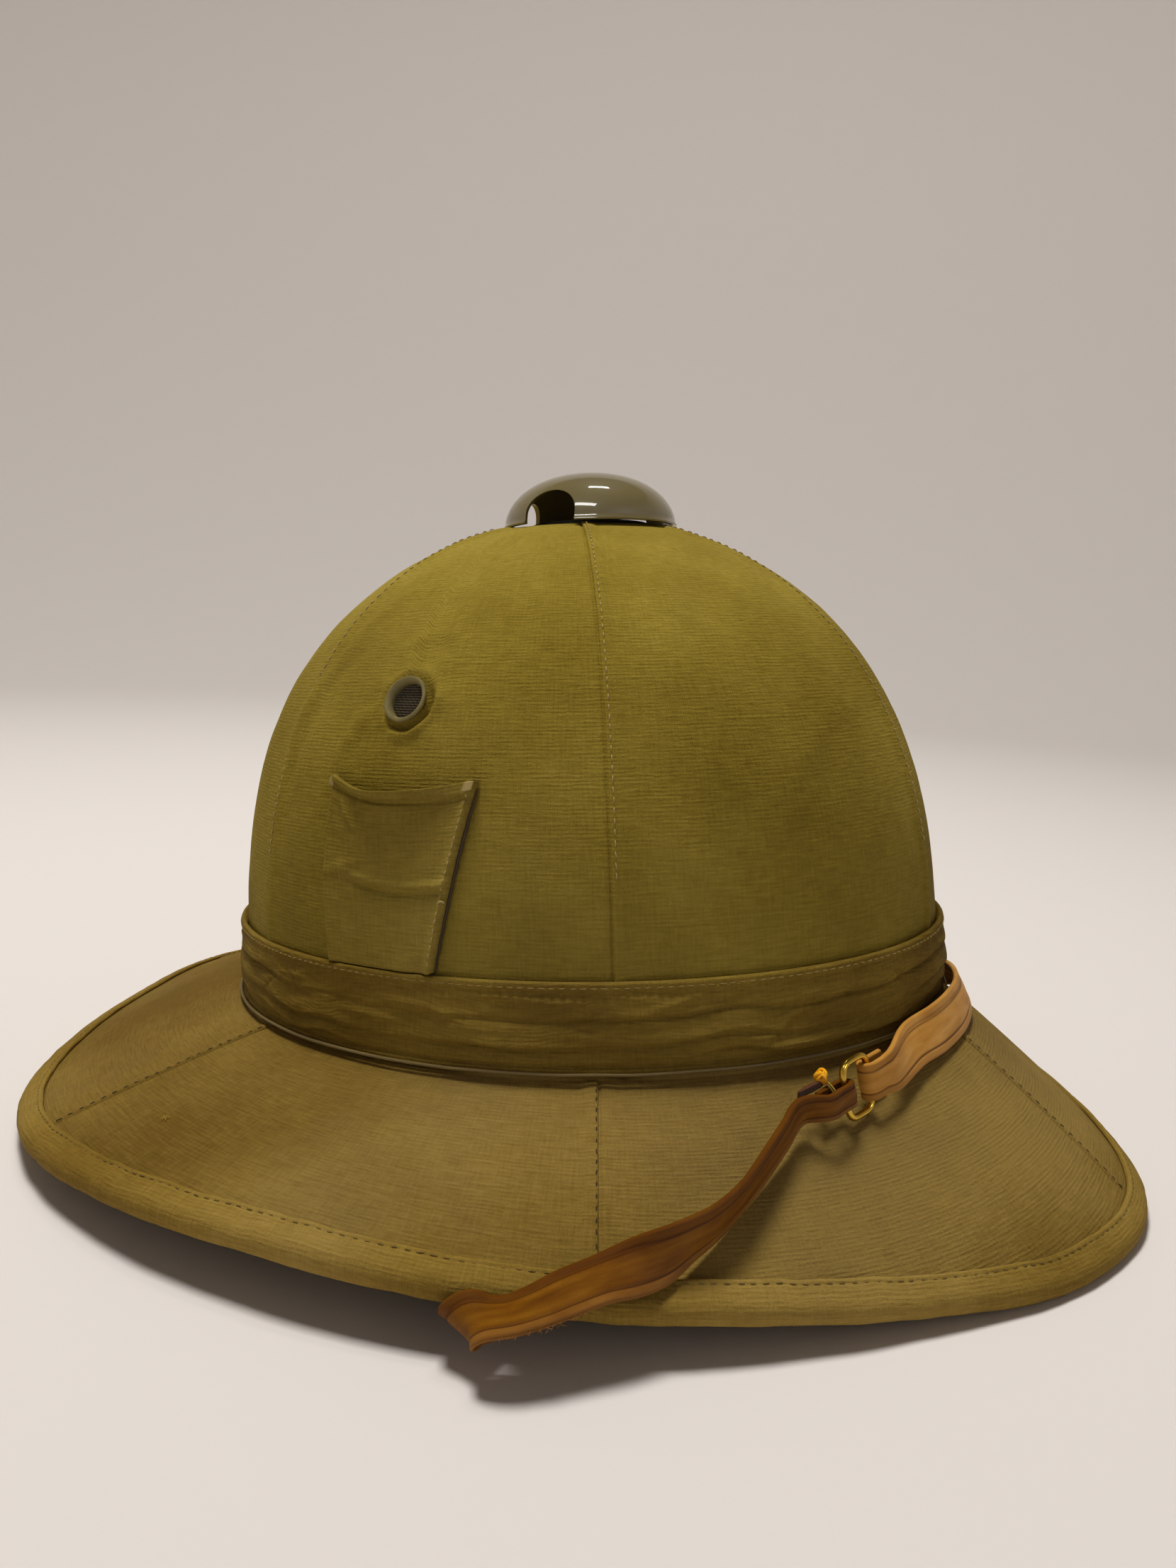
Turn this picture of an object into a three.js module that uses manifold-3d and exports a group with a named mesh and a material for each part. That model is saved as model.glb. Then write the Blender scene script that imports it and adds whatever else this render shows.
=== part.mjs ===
// Pith helmet: a cloth-covered pith crown and brim, with its band, rim binding, vents, pocket and chin strap.
// Lengths are millimetres and angles are degrees. +X is the wearer's front, +Y the left side and +Z is up.
// The helmet stands on its rim at z = 0. A side angle is counted from the front towards the wearer's right.
import * as THREE from "three";
import { mergeVertices } from "three/addons/utils/BufferGeometryUtils.js";
import Module from "manifold-3d";

const wasm = await Module();
wasm.setup();

// Driving sizes
const crownHalfLength = 116;
const crownHalfWidth = 104.8;
const crownHeight = 150.5;
const crownTilt = 5.31;
const crownBaseHeight = 38.9;
const crownFullness = 2.83;
const crownFlat = 3;
const shellThickness = 4.8;
const clearance = 0.3;
const panels = 6;
const seamHeight = 0.6;
const seamWidth = 3.2;

const brimHalfLength = 180;
const brimSideLift = 12;
const brimBow = 1.5;
const brimNose = 1.4;
const rimFlattening = 0.6;

const bindingThickness = 1.2;
const bindingTopWidth = 4.8;
const bindingUnderWidth = 8;

const bandHeight = 24.8;
const bandThickness = 1;
const bandPipeThickness = 1.1;
const bandFoldDepth = 1.1;

const capRadius = 28;
const capForward = 5.4;
const capHeight = 17.5;
const capThickness = 1.2;
const capLip = 0.9;
const capPostRadius = 2.6;
const capOpeningWidth = 17.5;
const capOpeningHeight = 10;
const capOpeningArch = 7;
const collarBore = 10.5;
const collarTubeThickness = 1;
const collarFlangeRadius = 19;
const collarFlangeThickness = 1;
const collarBridgeWidth = 7;

const sideVentHeight = 95.2;
const sideVentAngle = 92.4;
const sideVentRadius = 6.8;
const sideVentBore = 4.7;
const sideVentTubeThickness = 0.6;
const sideVentLip = 1.3;
const sideVentRounding = 0.6;
const gauzeThickness = 0.6;
const gauzeDepth = 1.6;

const pocketTopHeight = 75;
const pocketTopRear = -24.8;
const pocketTopFront = 22.6;
const pocketBottomRear = -22.8;
const pocketBottomFront = 12.4;
const pocketThickness = 1.2;
const pocketGape = 3.6;
const pocketSag = 3.2;

const strapWidth = 12;
const strapThickness = 1.6;
const buckleHalfHeight = 8.2;
const buckleHalfLength = 6;
const buckleWireRadius = 0.9;
const strapFoldLength = 8;
const strapFoldWidth = 10;
const strapPinchWidth = 6.4;
const buckleSquareness = 0.5;
const rivetHeadRadius = 3.6;
const rivetHeadThickness = 1;
const rivetShankRadius = 1.4;
const rivetShankDepth = 2.4;
const rivetRounding = 0.7;
const strapTabHeight = 9;

// Rim seen from above: how far its outer edge reaches, as a share of the half length, how high its lower
// edge stands, as a share of the side lift, and how far the brim bows, as a share of the bow.
const rimTable = [
  { angle: 0, reach: 1.0, lift: 0.0, bow: 1.0 },
  { angle: 15, reach: 0.969, lift: 0.0, bow: 1.0 },
  { angle: 30, reach: 0.913, lift: 0.25, bow: 0.8 },
  { angle: 45, reach: 0.889, lift: 0.58, bow: 0.6 },
  { angle: 60, reach: 0.892, lift: 0.83, bow: 0.4 },
  { angle: 75, reach: 0.895, lift: 0.96, bow: 0.4 },
  { angle: 90, reach: 0.908, lift: 1.0, bow: 0.4 },
  { angle: 105, reach: 0.94, lift: 0.83, bow: 0.6 },
  { angle: 120, reach: 0.974, lift: 0.5, bow: 0.8 },
  { angle: 135, reach: 0.981, lift: 0.1, bow: 1.0 },
  { angle: 150, reach: 0.97, lift: 0.0, bow: 1.0 },
  { angle: 165, reach: 0.972, lift: 0.0, bow: 1.0 },
  { angle: 180, reach: 1.0, lift: 0.0, bow: 1.0 },
];

// Folds of the band: where each crest runs, as shares of the band's height at the front, side and back,
// its half width as a share of that height, and its height as a share of the fold depth.
const bandFolds = [
  { front: 0.86, side: 0.8, back: 0.84, halfWidth: 0.13, height: 0.7 },
  { front: 0.62, side: 0.5, back: 0.6, halfWidth: 0.12, height: 1.0 },
  { front: 0.34, side: 0.26, back: 0.36, halfWidth: 0.12, height: 0.8 },
];
const bandLevels = [0, 0.05, 0.12, 0.26, 0.38, 0.5, 0.62, 0.72, 0.82, 0.93, 1];

// The piping along the band's lower edge, as shares of the band's height, and where its upper hem starts
const bandPipe = { middle: 0.05, halfWidth: 0.07 };
const bandHemStart = 0.94;

// Chin strap routes. Rows on the brim give the side angle, the share of the way from crown to rim and the
// lift of the strap's middle above the cloth. Its face is turned from the brim's face towards a direction
// that swings from straight outwards to along the rim. Rows in the crown give the height inside it. The
// strap narrows to a pinched end at the buckle.
const nearRoute = [
  { on: "crown", angle: 60, height: 16 },
  { on: "crown", angle: 60, height: 4 },
  { on: "brim", angle: 60, out: -0.06, lift: -9.5, turn: 235, swing: 0 },
  { on: "brim", angle: 61, out: 0.2, lift: -11, turn: 190, swing: 0 },
  { on: "brim", angle: 62.5, out: 0.45, lift: -10.6, turn: 180, swing: 0 },
  { on: "brim", angle: 64.5, out: 0.7, lift: -10.6, turn: 180, swing: 0 },
  { on: "brim", angle: 67, out: 0.92, lift: -9.8, turn: 180, swing: 30 },
  { on: "brim", angle: 69.2, out: 1.07, lift: -7.7, turn: 165, swing: 30 },
  { on: "brim", angle: 70.1, out: 1.13, lift: -5, turn: 125, swing: 28 },
  { on: "brim", angle: 70.1, out: 1.16, lift: -1.8, turn: 82, swing: 28 },
  { on: "brim", angle: 69.4, out: 1.16, lift: 0.9, turn: 34, swing: 28 },
  { on: "brim", angle: 68.1, out: 1.157, lift: 2.6, turn: -12, swing: 0 },
  { on: "brim", angle: 66.5, out: 1.14, lift: 3.2, turn: -20, swing: 0 },
  { on: "brim", angle: 64.6, out: 1.096, lift: 3.7, turn: -17, swing: 0 },
  { on: "brim", angle: 62.4, out: 1.034, lift: 4.3, turn: -10, swing: 0 },
  { on: "brim", angle: 59.9, out: 0.974, lift: 4.6, turn: -8, swing: 0 },
  { on: "brim", angle: 57.5, out: 0.93, lift: 5.2, turn: 12, swing: -30 },
  { on: "brim", angle: 55.2, out: 0.89, lift: 6.5, turn: 40, swing: -32 },
  { on: "brim", angle: 52.8, out: 0.83, lift: 7.3, turn: 64, swing: -32 },
  { on: "brim", angle: 50.2, out: 0.758, lift: 7.2, turn: 74, swing: -33 },
  { on: "brim", angle: 47.2, out: 0.656, lift: 6.9, turn: 77, swing: -38 },
  { on: "brim", angle: 44, out: 0.536, lift: 6.5, turn: 70, swing: -39, width: 11 },
  { on: "brim", angle: 40.6, out: 0.419, lift: 6.2, turn: 62, swing: -40, width: 9.2 },
  { on: "brim", angle: 37.5, out: 0.325, lift: 6.2, turn: 54, swing: -36, width: 7.6 },
];

// How many of those rows lead from inside the crown round the rim. The front strap's end mirrors them.
const rimRows = 15;

const buckleSeat = { on: "brim", angle: 29.2, out: 0.21, lift: 6.9, turn: 42, swing: -30 };

const frontRoute = [
  { on: "brim", angle: 16, out: 0.095, lift: 5.5, turn: 22, swing: 0 },
  { on: "brim", angle: 8, out: 0.08, lift: 4.9, turn: 28, swing: 0 },
  { on: "brim", angle: 0, out: 0.075, lift: 4.9, turn: 30, swing: 0 },
  { on: "brim", angle: -8, out: 0.078, lift: 4.9, turn: 28, swing: 0 },
  { on: "brim", angle: -17, out: 0.09, lift: 4.6, turn: 22, swing: 0 },
  { on: "brim", angle: -27, out: 0.15, lift: 3.8, turn: 10, swing: 0 },
  { on: "brim", angle: -35, out: 0.27, lift: 2.9, turn: 0, swing: 0 },
  { on: "brim", angle: -42, out: 0.43, lift: 2.6, turn: 0, swing: 0 },
  { on: "brim", angle: -48.5, out: 0.62, lift: 2.6, turn: 0, swing: 0 },
  { on: "brim", angle: -54, out: 0.8, lift: 2.8, turn: -6, swing: 0 },
  { on: "brim", angle: -59, out: 0.94, lift: 3.6, turn: -12, swing: 0 },
  ...nearRoute
    .slice(0, rimRows)
    .reverse()
    .map((row) => ({ ...row, angle: -row.angle })),
];

// How finely the curves are divided
const columnStep = 7.5;
const capSegments = 32;
const ventSegments = 16;
const rivetSegments = 12;
const buckleSegments = 24;
const buckleWireSides = 6;
const strapStepsPerRow = 2;

const radians = Math.PI / 180;
const cosine = (angle) => Math.cos(angle * radians);
const sine = (angle) => Math.sin(angle * radians);
const mix = (from, to, share) => from + (to - from) * share;
const wrapped = (angle) => ((angle + 540) % 360) - 180;

// Smooth value of a table's column at a side angle, the same on both sides.
function readTable(rows, column, angle) {
  const last = rows.length - 1;
  const place = (Math.abs(wrapped(angle)) / rows[last].angle) * last;
  const start = Math.min(Math.floor(place), last - 1);
  const value = (index) => rows[last - Math.abs(last - Math.abs(index))][column];
  const [before, from, to, after] = [-1, 0, 1, 2].map((offset) => value(start + offset));
  const share = place - start;
  const fromSlope = (to - before) / 2;
  const toSlope = (after - from) / 2;
  const bend = 2 * from - 2 * to + fromSlope + toSlope;
  const pull = -3 * from + 3 * to - 2 * fromSlope - toSlope;
  return ((bend * share + pull) * share + fromSlope) * share + from;
}

// Closed solid through sections of equally many points, either round a ring or capped at both ends.
function loftGeometry(sections, ring) {
  const size = sections[0].length;
  const positions = sections.flat().flatMap((point) => [point.x, point.y, point.z]);
  const faces = [];
  const spans = ring ? sections.length : sections.length - 1;
  for (let span = 0; span < spans; span += 1) {
    const here = span * size;
    const there = ((span + 1) % sections.length) * size;
    for (let corner = 0; corner < size; corner += 1) {
      const next = (corner + 1) % size;
      faces.push(here + corner, there + corner, there + next);
      faces.push(here + corner, there + next, here + next);
    }
  }
  if (!ring) {
    const end = (sections.length - 1) * size;
    for (let corner = 1; corner < size - 1; corner += 1) {
      faces.push(0, corner, corner + 1);
      faces.push(end, end + corner + 1, end + corner);
    }
  }
  return facingOut(positions, faces);
}

// Geometry whose faces point outwards, whichever way round its sections were listed.
function facingOut(positions, faces) {
  let volume = 0;
  const corner = (index) => new THREE.Vector3().fromArray(positions, index * 3);
  for (let face = 0; face < faces.length; face += 3) {
    const [first, second, third] = [0, 1, 2].map((offset) => corner(faces[face + offset]));
    volume += first.dot(second.cross(third));
  }
  if (volume < 0) {
    faces.reverse();
  }
  const geometry = new THREE.BufferGeometry();
  geometry.setAttribute("position", new THREE.Float32BufferAttribute(positions, 3));
  geometry.setIndex(faces);
  return geometry;
}

function toSolid(geometry) {
  const bare = geometry.clone();
  bare.deleteAttribute("normal");
  bare.deleteAttribute("uv");
  const merged = mergeVertices(bare, 1e-4);
  const vertProperties = new Float32Array(merged.attributes.position.array);
  const triVerts = new Uint32Array(merged.index.array);
  return new wasm.Manifold(new wasm.Mesh({ numProp: 3, vertProperties, triVerts }));
}

function fromSolid(solid) {
  const mesh = solid.getMesh();
  const geometry = new THREE.BufferGeometry();
  geometry.setAttribute("position", new THREE.BufferAttribute(new Float32Array(mesh.vertProperties), 3));
  geometry.setIndex(new THREE.BufferAttribute(new Uint32Array(mesh.triVerts), 1));
  return geometry;
}

// Geometry turned so that its +Z points along a direction, then moved to a place.
function aimed(geometry, direction, place) {
  const turn = new THREE.Quaternion().setFromUnitVectors(new THREE.Vector3(0, 0, 1), direction);
  return geometry.applyQuaternion(turn).translate(place.x, place.y, place.z);
}

// Lathe about Z from a closed profile of radius and height pairs.
function turned(profile, segments) {
  const points = [...profile, profile[0]].map(([radius, height]) => new THREE.Vector2(radius, height));
  return new THREE.LatheGeometry(points, segments).rotateX(Math.PI / 2);
}

// Share of the base outline that the dome still has at a height in the crown's own frame.
const domeShare = (height, domeHeight) => Math.sqrt(1 - (height / domeHeight) ** crownFullness);

// Point of the dome, moved outwards by an offset, in the crown's own frame.
function domePoint(angle, height, offset) {
  const share = domeShare(Math.max(height, 0), crownHeight);
  const along = crownHalfLength * share + offset;
  const across = crownHalfWidth * share + offset;
  return new THREE.Vector3(along * cosine(angle), -across * sine(angle), height);
}

// Height of a dome over a point inside its outline. The top is pressed flat under the cap.
function domeTop(x, y, inset) {
  const away = (x / (crownHalfLength - inset)) ** 2 + (y / (crownHalfWidth - inset)) ** 2;
  return Math.min((crownHeight - inset) * (1 - away) ** (1 / crownFullness), crownHeight - inset - crownFlat);
}

function domeNormal(angle, height) {
  const step = 0.5;
  const sideways = domePoint(angle + step, height, 0).sub(domePoint(angle - step, height, 0));
  const upwards = domePoint(angle, height + step, 0).sub(domePoint(angle, height - step, 0));
  return upwards.cross(sideways).normalize();
}

// Side angles of the sections, with two more beside each panel seam where a seam shows.
function columnAngles(withSeams) {
  const angles = [];
  const seamStep = 360 / panels;
  const flank = seamWidth / 2 / crownHalfLength / radians;
  for (let angle = 0; angle < 360; angle += columnStep) {
    const onSeam = angle % seamStep === 0;
    if (onSeam && withSeams) {
      angles.push(angle - flank, angle, angle + flank);
    } else {
      angles.push(angle);
    }
  }
  return angles;
}

const seamRise = (angle) => (Math.abs(angle % (360 / panels)) < 1e-6 ? seamHeight : 0);

// Crown

// Rows of points on the crown's two faces, as angles up its quarter arc
const crownRows = { outer: [4, 12, 22, 32, 42, 52, 62, 71, 78], inner: [76, 60, 43, 26, 12, 4] };

function crownSection(angle, holeRadius) {
  const rise = seamRise(angle);
  const points = [domePoint(angle, clearance, rise)];
  for (const row of crownRows.outer) {
    const share = cosine(row);
    const height = Math.min(crownHeight * sine(row) ** (2 / crownFullness), crownHeight - crownFlat);
    const along = (crownHalfLength + rise) * share;
    const across = (crownHalfWidth + rise) * share;
    points.push(new THREE.Vector3(along * cosine(angle), -across * sine(angle), height));
  }
  const holeX = capForward + holeRadius * cosine(angle);
  const holeY = -holeRadius * sine(angle);
  points.push(new THREE.Vector3(holeX, holeY, domeTop(holeX, holeY, 0)));
  points.push(new THREE.Vector3(holeX, holeY, domeTop(holeX, holeY, shellThickness)));
  for (const row of crownRows.inner) {
    const innerHeight = crownHeight - shellThickness;
    const height = Math.min(innerHeight * sine(row) ** (2 / crownFullness), innerHeight - crownFlat);
    const along = (crownHalfLength - shellThickness) * cosine(row);
    const across = (crownHalfWidth - shellThickness) * cosine(row);
    points.push(new THREE.Vector3(along * cosine(angle), -across * sine(angle), height));
  }
  points.push(insideDome(angle, clearance, 0));
  return points;
}

// Point of the crown's inner wall, moved inwards by an inset, in the crown's own frame.
function insideDome(angle, height, inset) {
  const share = domeShare(Math.max(height, 0), crownHeight - shellThickness);
  const along = (crownHalfLength - shellThickness) * share - inset;
  const across = (crownHalfWidth - shellThickness) * share - inset;
  return new THREE.Vector3(along * cosine(angle), -across * sine(angle), height);
}

function makeCrown() {
  const holeRadius = collarBore + collarTubeThickness + clearance;
  const sections = columnAngles(true).map((angle) => crownSection(angle, holeRadius));
  let solid = toSolid(loftGeometry(sections, true));
  for (const side of [1, -1]) {
    const reach = 2 * shellThickness;
    const bore = new THREE.CylinderGeometry(ventHoleRadius, ventHoleRadius, 2 * reach, ventSegments);
    bore.rotateX(Math.PI / 2);
    const angle = side * sideVentAngle;
    const place = domePoint(angle, sideVentHeight, 0);
    solid = solid.subtract(toSolid(aimed(bore, domeNormal(angle, sideVentHeight), place)));
    solid = solid.subtract(toSolid(rivetShank(side, clearance)));
  }
  return fromSolid(solid);
}

// Hat band

function foldHeight(share, angle) {
  const turnShare = (1 - Math.cos(2 * angle * radians)) / 2;
  let height = 0;
  for (const fold of bandFolds) {
    const end = cosine(angle) > 0 ? fold.front : fold.back;
    const middle = mix(end, fold.side, turnShare);
    const away = Math.min(Math.abs(share - middle) / fold.halfWidth, 1);
    height += fold.height * bandFoldDepth * (1 - away * away) ** 2;
  }
  return height;
}

function bandSection(angle) {
  const inner = clearance + seamHeight;
  const points = bandLevels.map((share) => {
    const fromPipe = (share - bandPipe.middle) / bandPipe.halfWidth;
    const pipe = bandPipeThickness * Math.max(0, 1 - fromPipe ** 2);
    const folds = share > bandHemStart || share === 0 ? 0 : foldHeight(share, angle);
    const height = mix(bandBottom, bandHeight, share);
    return domePoint(angle, height, inner + bandThickness + pipe + folds);
  });
  points.push(domePoint(angle, bandHeight, inner), domePoint(angle, (bandHeight + bandBottom) / 2, inner));
  points.push(domePoint(angle, bandBottom, inner));
  return points;
}

const bandBottom = 2 * clearance;

function makeHatBand() {
  return loftGeometry(columnAngles(false).map(bandSection), true);
}

// Brim: its upper face runs from the crown's base to the rim

// Base of the crown's outside or inside wall at a side angle, in the helmet's frame.
function basePoint(angle, inset) {
  const along = (crownHalfLength - inset) * cosine(crownTilt);
  const across = crownHalfWidth - inset;
  const radius = 1 / Math.hypot(cosine(angle) / along, sine(angle) / across);
  const height = crownBaseHeight + radius * cosine(angle) * Math.tan(crownTilt * radians);
  return new THREE.Vector2(radius, height);
}

// The brim's upper face in the upright plane at a side angle: start, end, direction and normal.
function brimLine(angle) {
  const roll = shellThickness / 2 + clearance + bindingThickness;
  const start = basePoint(angle, 0);
  const middle = new THREE.Vector2(
    brimHalfLength * readTable(rimTable, "reach", angle) - roll,
    brimSideLift * Math.max(readTable(rimTable, "lift", angle), 0) + roll - rimFlattening,
  );
  const rough = middle.clone().sub(start).normalize();
  const end = middle.clone().add(new THREE.Vector2(-rough.y, rough.x).multiplyScalar(shellThickness / 2));
  const slope = end.clone().sub(start);
  const length = slope.length();
  slope.divideScalar(length);
  return { start, end, slope, normal: new THREE.Vector2(-slope.y, slope.x), length };
}

// Radius and height of a point on or off the brim's upper face.
function brimPlane(line, angle, out, lift) {
  const inside = Math.min(Math.max(out, 0), 1);
  const bow = 4 * brimBow * readTable(rimTable, "bow", angle) * inside * (1 - inside);
  return line.start
    .clone()
    .addScaledVector(line.slope, out * line.length)
    .addScaledVector(line.normal, lift + bow);
}

// Point of the helmet from its side angle and its radius and height.
const standing = (angle, flat) => new THREE.Vector3(flat.x * cosine(angle), -flat.x * sine(angle), flat.y);

// Rows of points on the brim's faces, as shares of the way out
const brimRows = { upper: [0.08, 0.36, 0.66, 0.92], under: 0.35 };

function brimSection(angle) {
  const line = brimLine(angle);
  const rise = seamRise(angle);
  const inner = basePoint(angle, shellThickness);
  const flat = [basePoint(angle, 0)];
  const bindingStart = 1 - (bindingTopWidth + clearance) / line.length;
  for (const share of brimRows.upper) {
    flat.push(brimPlane(line, angle, share * bindingStart, rise));
  }
  flat.push(brimPlane(line, angle, bindingStart, 0));
  flat.push(brimPlane(line, angle, 1, 0));
  const nose = brimPlane(line, angle, 1, -shellThickness / 2);
  flat.push(nose.addScaledVector(line.slope, brimNose));
  const bindingEnd = 1 - (bindingUnderWidth + clearance) / line.length;
  for (const out of [1, bindingEnd, brimRows.under]) {
    flat.push(brimPlane(line, angle, out, -shellThickness));
  }
  flat.push(new THREE.Vector2(inner.x, inner.y - shellThickness), inner);
  return flat.map((point) => standing(angle, point));
}

function makeBrim() {
  return loftGeometry(columnAngles(true).map(brimSection), true);
}

// Rim binding: a folded strip round the brim's edge, flattened where the helmet stands on it

function bindingSection(angle) {
  const line = brimLine(angle);
  const topShare = 1 - bindingTopWidth / line.length;
  const underShare = 1 - bindingUnderWidth / line.length;
  const under = -shellThickness - clearance;
  const rollPoint = (radius, turn) =>
    brimPlane(line, angle, 1, -shellThickness / 2)
      .addScaledVector(line.slope, radius * cosine(turn))
      .addScaledVector(line.normal, radius * sine(turn));
  const outerRadius = shellThickness / 2 + clearance + bindingThickness;
  const innerRadius = shellThickness / 2 + clearance;
  const flat = [
    brimPlane(line, angle, topShare, clearance + bindingThickness),
    ...[90, 45, 10, -25, -60, -90].map((turn) => rollPoint(outerRadius, turn)),
    brimPlane(line, angle, underShare, under - bindingThickness),
    brimPlane(line, angle, underShare, under),
    ...[-90, 0, 90].map((turn) => rollPoint(innerRadius, turn)),
    brimPlane(line, angle, topShare, clearance),
  ];
  return flat.map((point) => standing(angle, point));
}

function makeRimBinding() {
  const solid = toSolid(loftGeometry(columnAngles(true).map(bindingSection), true));
  const tableSide = 4 * brimHalfLength;
  const table = new THREE.BoxGeometry(tableSide, tableSide, crownBaseHeight);
  table.translate(0, 0, -crownBaseHeight / 2);
  return fromSolid(solid.subtract(toSolid(table)));
}

// Top vent: a collar through the crown and a hollow cap screwed to its bridge

// Height of the crown's pressed top plus the clearance: the collar's flange and the cap's rim sit there.
const collarSeat = crownHeight - crownFlat + clearance;

function makeVentCollar() {
  const tubeRadius = collarBore + collarTubeThickness;
  const flangeTop = collarSeat + collarFlangeThickness;
  const ring = turned(
    [
      [collarBore, collarSeat - 2 * shellThickness],
      [tubeRadius, collarSeat - 2 * shellThickness],
      [tubeRadius, collarSeat],
      [collarFlangeRadius, collarSeat],
      [collarFlangeRadius, flangeTop],
      [collarBore, flangeTop],
    ],
    capSegments,
  );
  const bridge = new THREE.BoxGeometry(2 * collarBore + collarTubeThickness, collarBridgeWidth, shellThickness / 2);
  bridge.translate(0, 0, flangeTop - shellThickness / 4);
  return fromSolid(toSolid(ring).add(toSolid(bridge))).translate(capForward, 0, 0);
}

function capArc(radius, height, steps) {
  const points = [];
  for (let step = 0; step <= steps; step += 1) {
    const turn = (step / steps) * 90;
    points.push([radius * cosine(turn) ** 0.9, collarSeat + height * sine(turn)]);
  }
  return points;
}

function capOpening(angle) {
  const half = capOpeningWidth / 2;
  const shoulder = capOpeningHeight - capOpeningArch;
  const outline = new THREE.Shape();
  outline.moveTo(-half, -capHeight);
  outline.lineTo(half, -capHeight);
  outline.lineTo(half, shoulder);
  outline.absellipse(0, shoulder, half, capOpeningArch, 0, Math.PI, false);
  const block = new THREE.ExtrudeGeometry(outline, { depth: 2 * capRadius, bevelEnabled: false, curveSegments: 8 });
  block.rotateX(Math.PI / 2).rotateZ(Math.PI / 2 - angle * radians);
  return block.translate(0, 0, collarSeat);
}

function makeVentCap() {
  const postFoot = collarSeat + collarFlangeThickness + clearance;
  const innerHeight = capHeight - capThickness;
  const inner = capArc(capRadius - capThickness, innerHeight, 5);
  const postTop = collarSeat + innerHeight - capThickness / 2;
  const profile = [
    [0, postFoot],
    [capPostRadius, postFoot],
    [capPostRadius, postTop],
    ...inner.slice(0, -1).reverse().filter(([radius]) => radius > capPostRadius),
    [capRadius + capLip / 3, collarSeat],
    [capRadius + capLip / 3, collarSeat + capLip],
    ...capArc(capRadius, capHeight, 8).filter(([, height]) => height > collarSeat + capLip),
  ];
  let solid = toSolid(turned(profile, capSegments));
  for (const angle of [90, 180, 270]) {
    solid = solid.subtract(toSolid(capOpening(angle)));
  }
  return fromSolid(solid).translate(capForward, 0, 0);
}

// Side vents: a grommet through the crown wall with a disc of gauze in it

const ventHoleRadius = sideVentBore + sideVentTubeThickness + clearance;

function ventPiece(geometry, side) {
  const angle = side * sideVentAngle;
  return aimed(geometry, domeNormal(angle, sideVentHeight), domePoint(angle, sideVentHeight, 0));
}

function makeSideVent(side) {
  const tubeRadius = sideVentBore + sideVentTubeThickness;
  const profile = [
    [sideVentBore, -shellThickness],
    [tubeRadius, -shellThickness],
    [tubeRadius, clearance],
    [sideVentRadius, clearance],
    [sideVentRadius, clearance + sideVentLip - sideVentRounding],
    [sideVentRadius - sideVentRounding, clearance + sideVentLip],
    [tubeRadius, clearance + sideVentLip],
    [sideVentBore, clearance + sideVentLip - sideVentRounding],
  ];
  return ventPiece(turned(profile, ventSegments), side);
}

function makeGauze(side) {
  const radius = sideVentBore - clearance;
  const disc = new THREE.CylinderGeometry(radius, radius, gauzeThickness, ventSegments);
  return ventPiece(disc.rotateX(Math.PI / 2).translate(0, 0, -gauzeDepth), side);
}

// Pocket on the right side: a patch sewn to the crown, open and sagging along its top

function pocketPoint(across, up, lift) {
  const drop = pocketSag * Math.sin(Math.PI * across) * up ** 3;
  const height = mix(bandHeight + clearance, pocketTopHeight, up) - drop;
  const rear = mix(pocketBottomRear, pocketTopRear, up);
  const front = mix(pocketBottomFront, pocketTopFront, up);
  const x = mix(rear, front, across);
  const share = domeShare(height, crownHeight);
  const angle = Math.acos(x / (crownHalfLength * share)) / radians;
  const gape = pocketGape * Math.sin(Math.PI * across) ** 2 * up ** 3;
  const place = domePoint(angle, height, 0);
  return place.addScaledVector(domeNormal(angle, height), clearance + gape + lift);
}

function makePocket() {
  const acrossSteps = 8;
  const upSteps = 6;
  const sections = [];
  for (let step = 0; step <= acrossSteps; step += 1) {
    const across = step / acrossSteps;
    const outer = [];
    const inner = [];
    for (let level = 0; level <= upSteps; level += 1) {
      outer.push(pocketPoint(across, level / upSteps, pocketThickness));
      inner.push(pocketPoint(across, 1 - level / upSteps, 0));
    }
    sections.push([...outer, ...inner]);
  }
  return stripGeometry(sections, upSteps);
}

// Loft of thin sections, whose outer and inner runs face each other, with its ends closed in strips.
function stripGeometry(sections, levels) {
  const size = 2 * (levels + 1);
  const positions = sections.flat().flatMap((point) => [point.x, point.y, point.z]);
  const faces = [];
  for (let span = 0; span < sections.length - 1; span += 1) {
    for (let corner = 0; corner < size; corner += 1) {
      const next = (corner + 1) % size;
      const here = span * size;
      faces.push(here + corner, here + size + corner, here + size + next);
      faces.push(here + corner, here + size + next, here + next);
    }
  }
  const end = (sections.length - 1) * size;
  for (let level = 0; level < levels; level += 1) {
    const facing = size - 1 - level;
    faces.push(level, level + 1, facing - 1);
    faces.push(level, facing - 1, facing);
    faces.push(end + level, end + facing - 1, end + level + 1);
    faces.push(end + level, end + facing, end + facing - 1);
  }
  return facingOut(positions, faces);
}

// Chin strap, its buckle and its rivets

const crownTurn = new THREE.Matrix4().makeRotationY(-crownTilt * radians);

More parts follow.
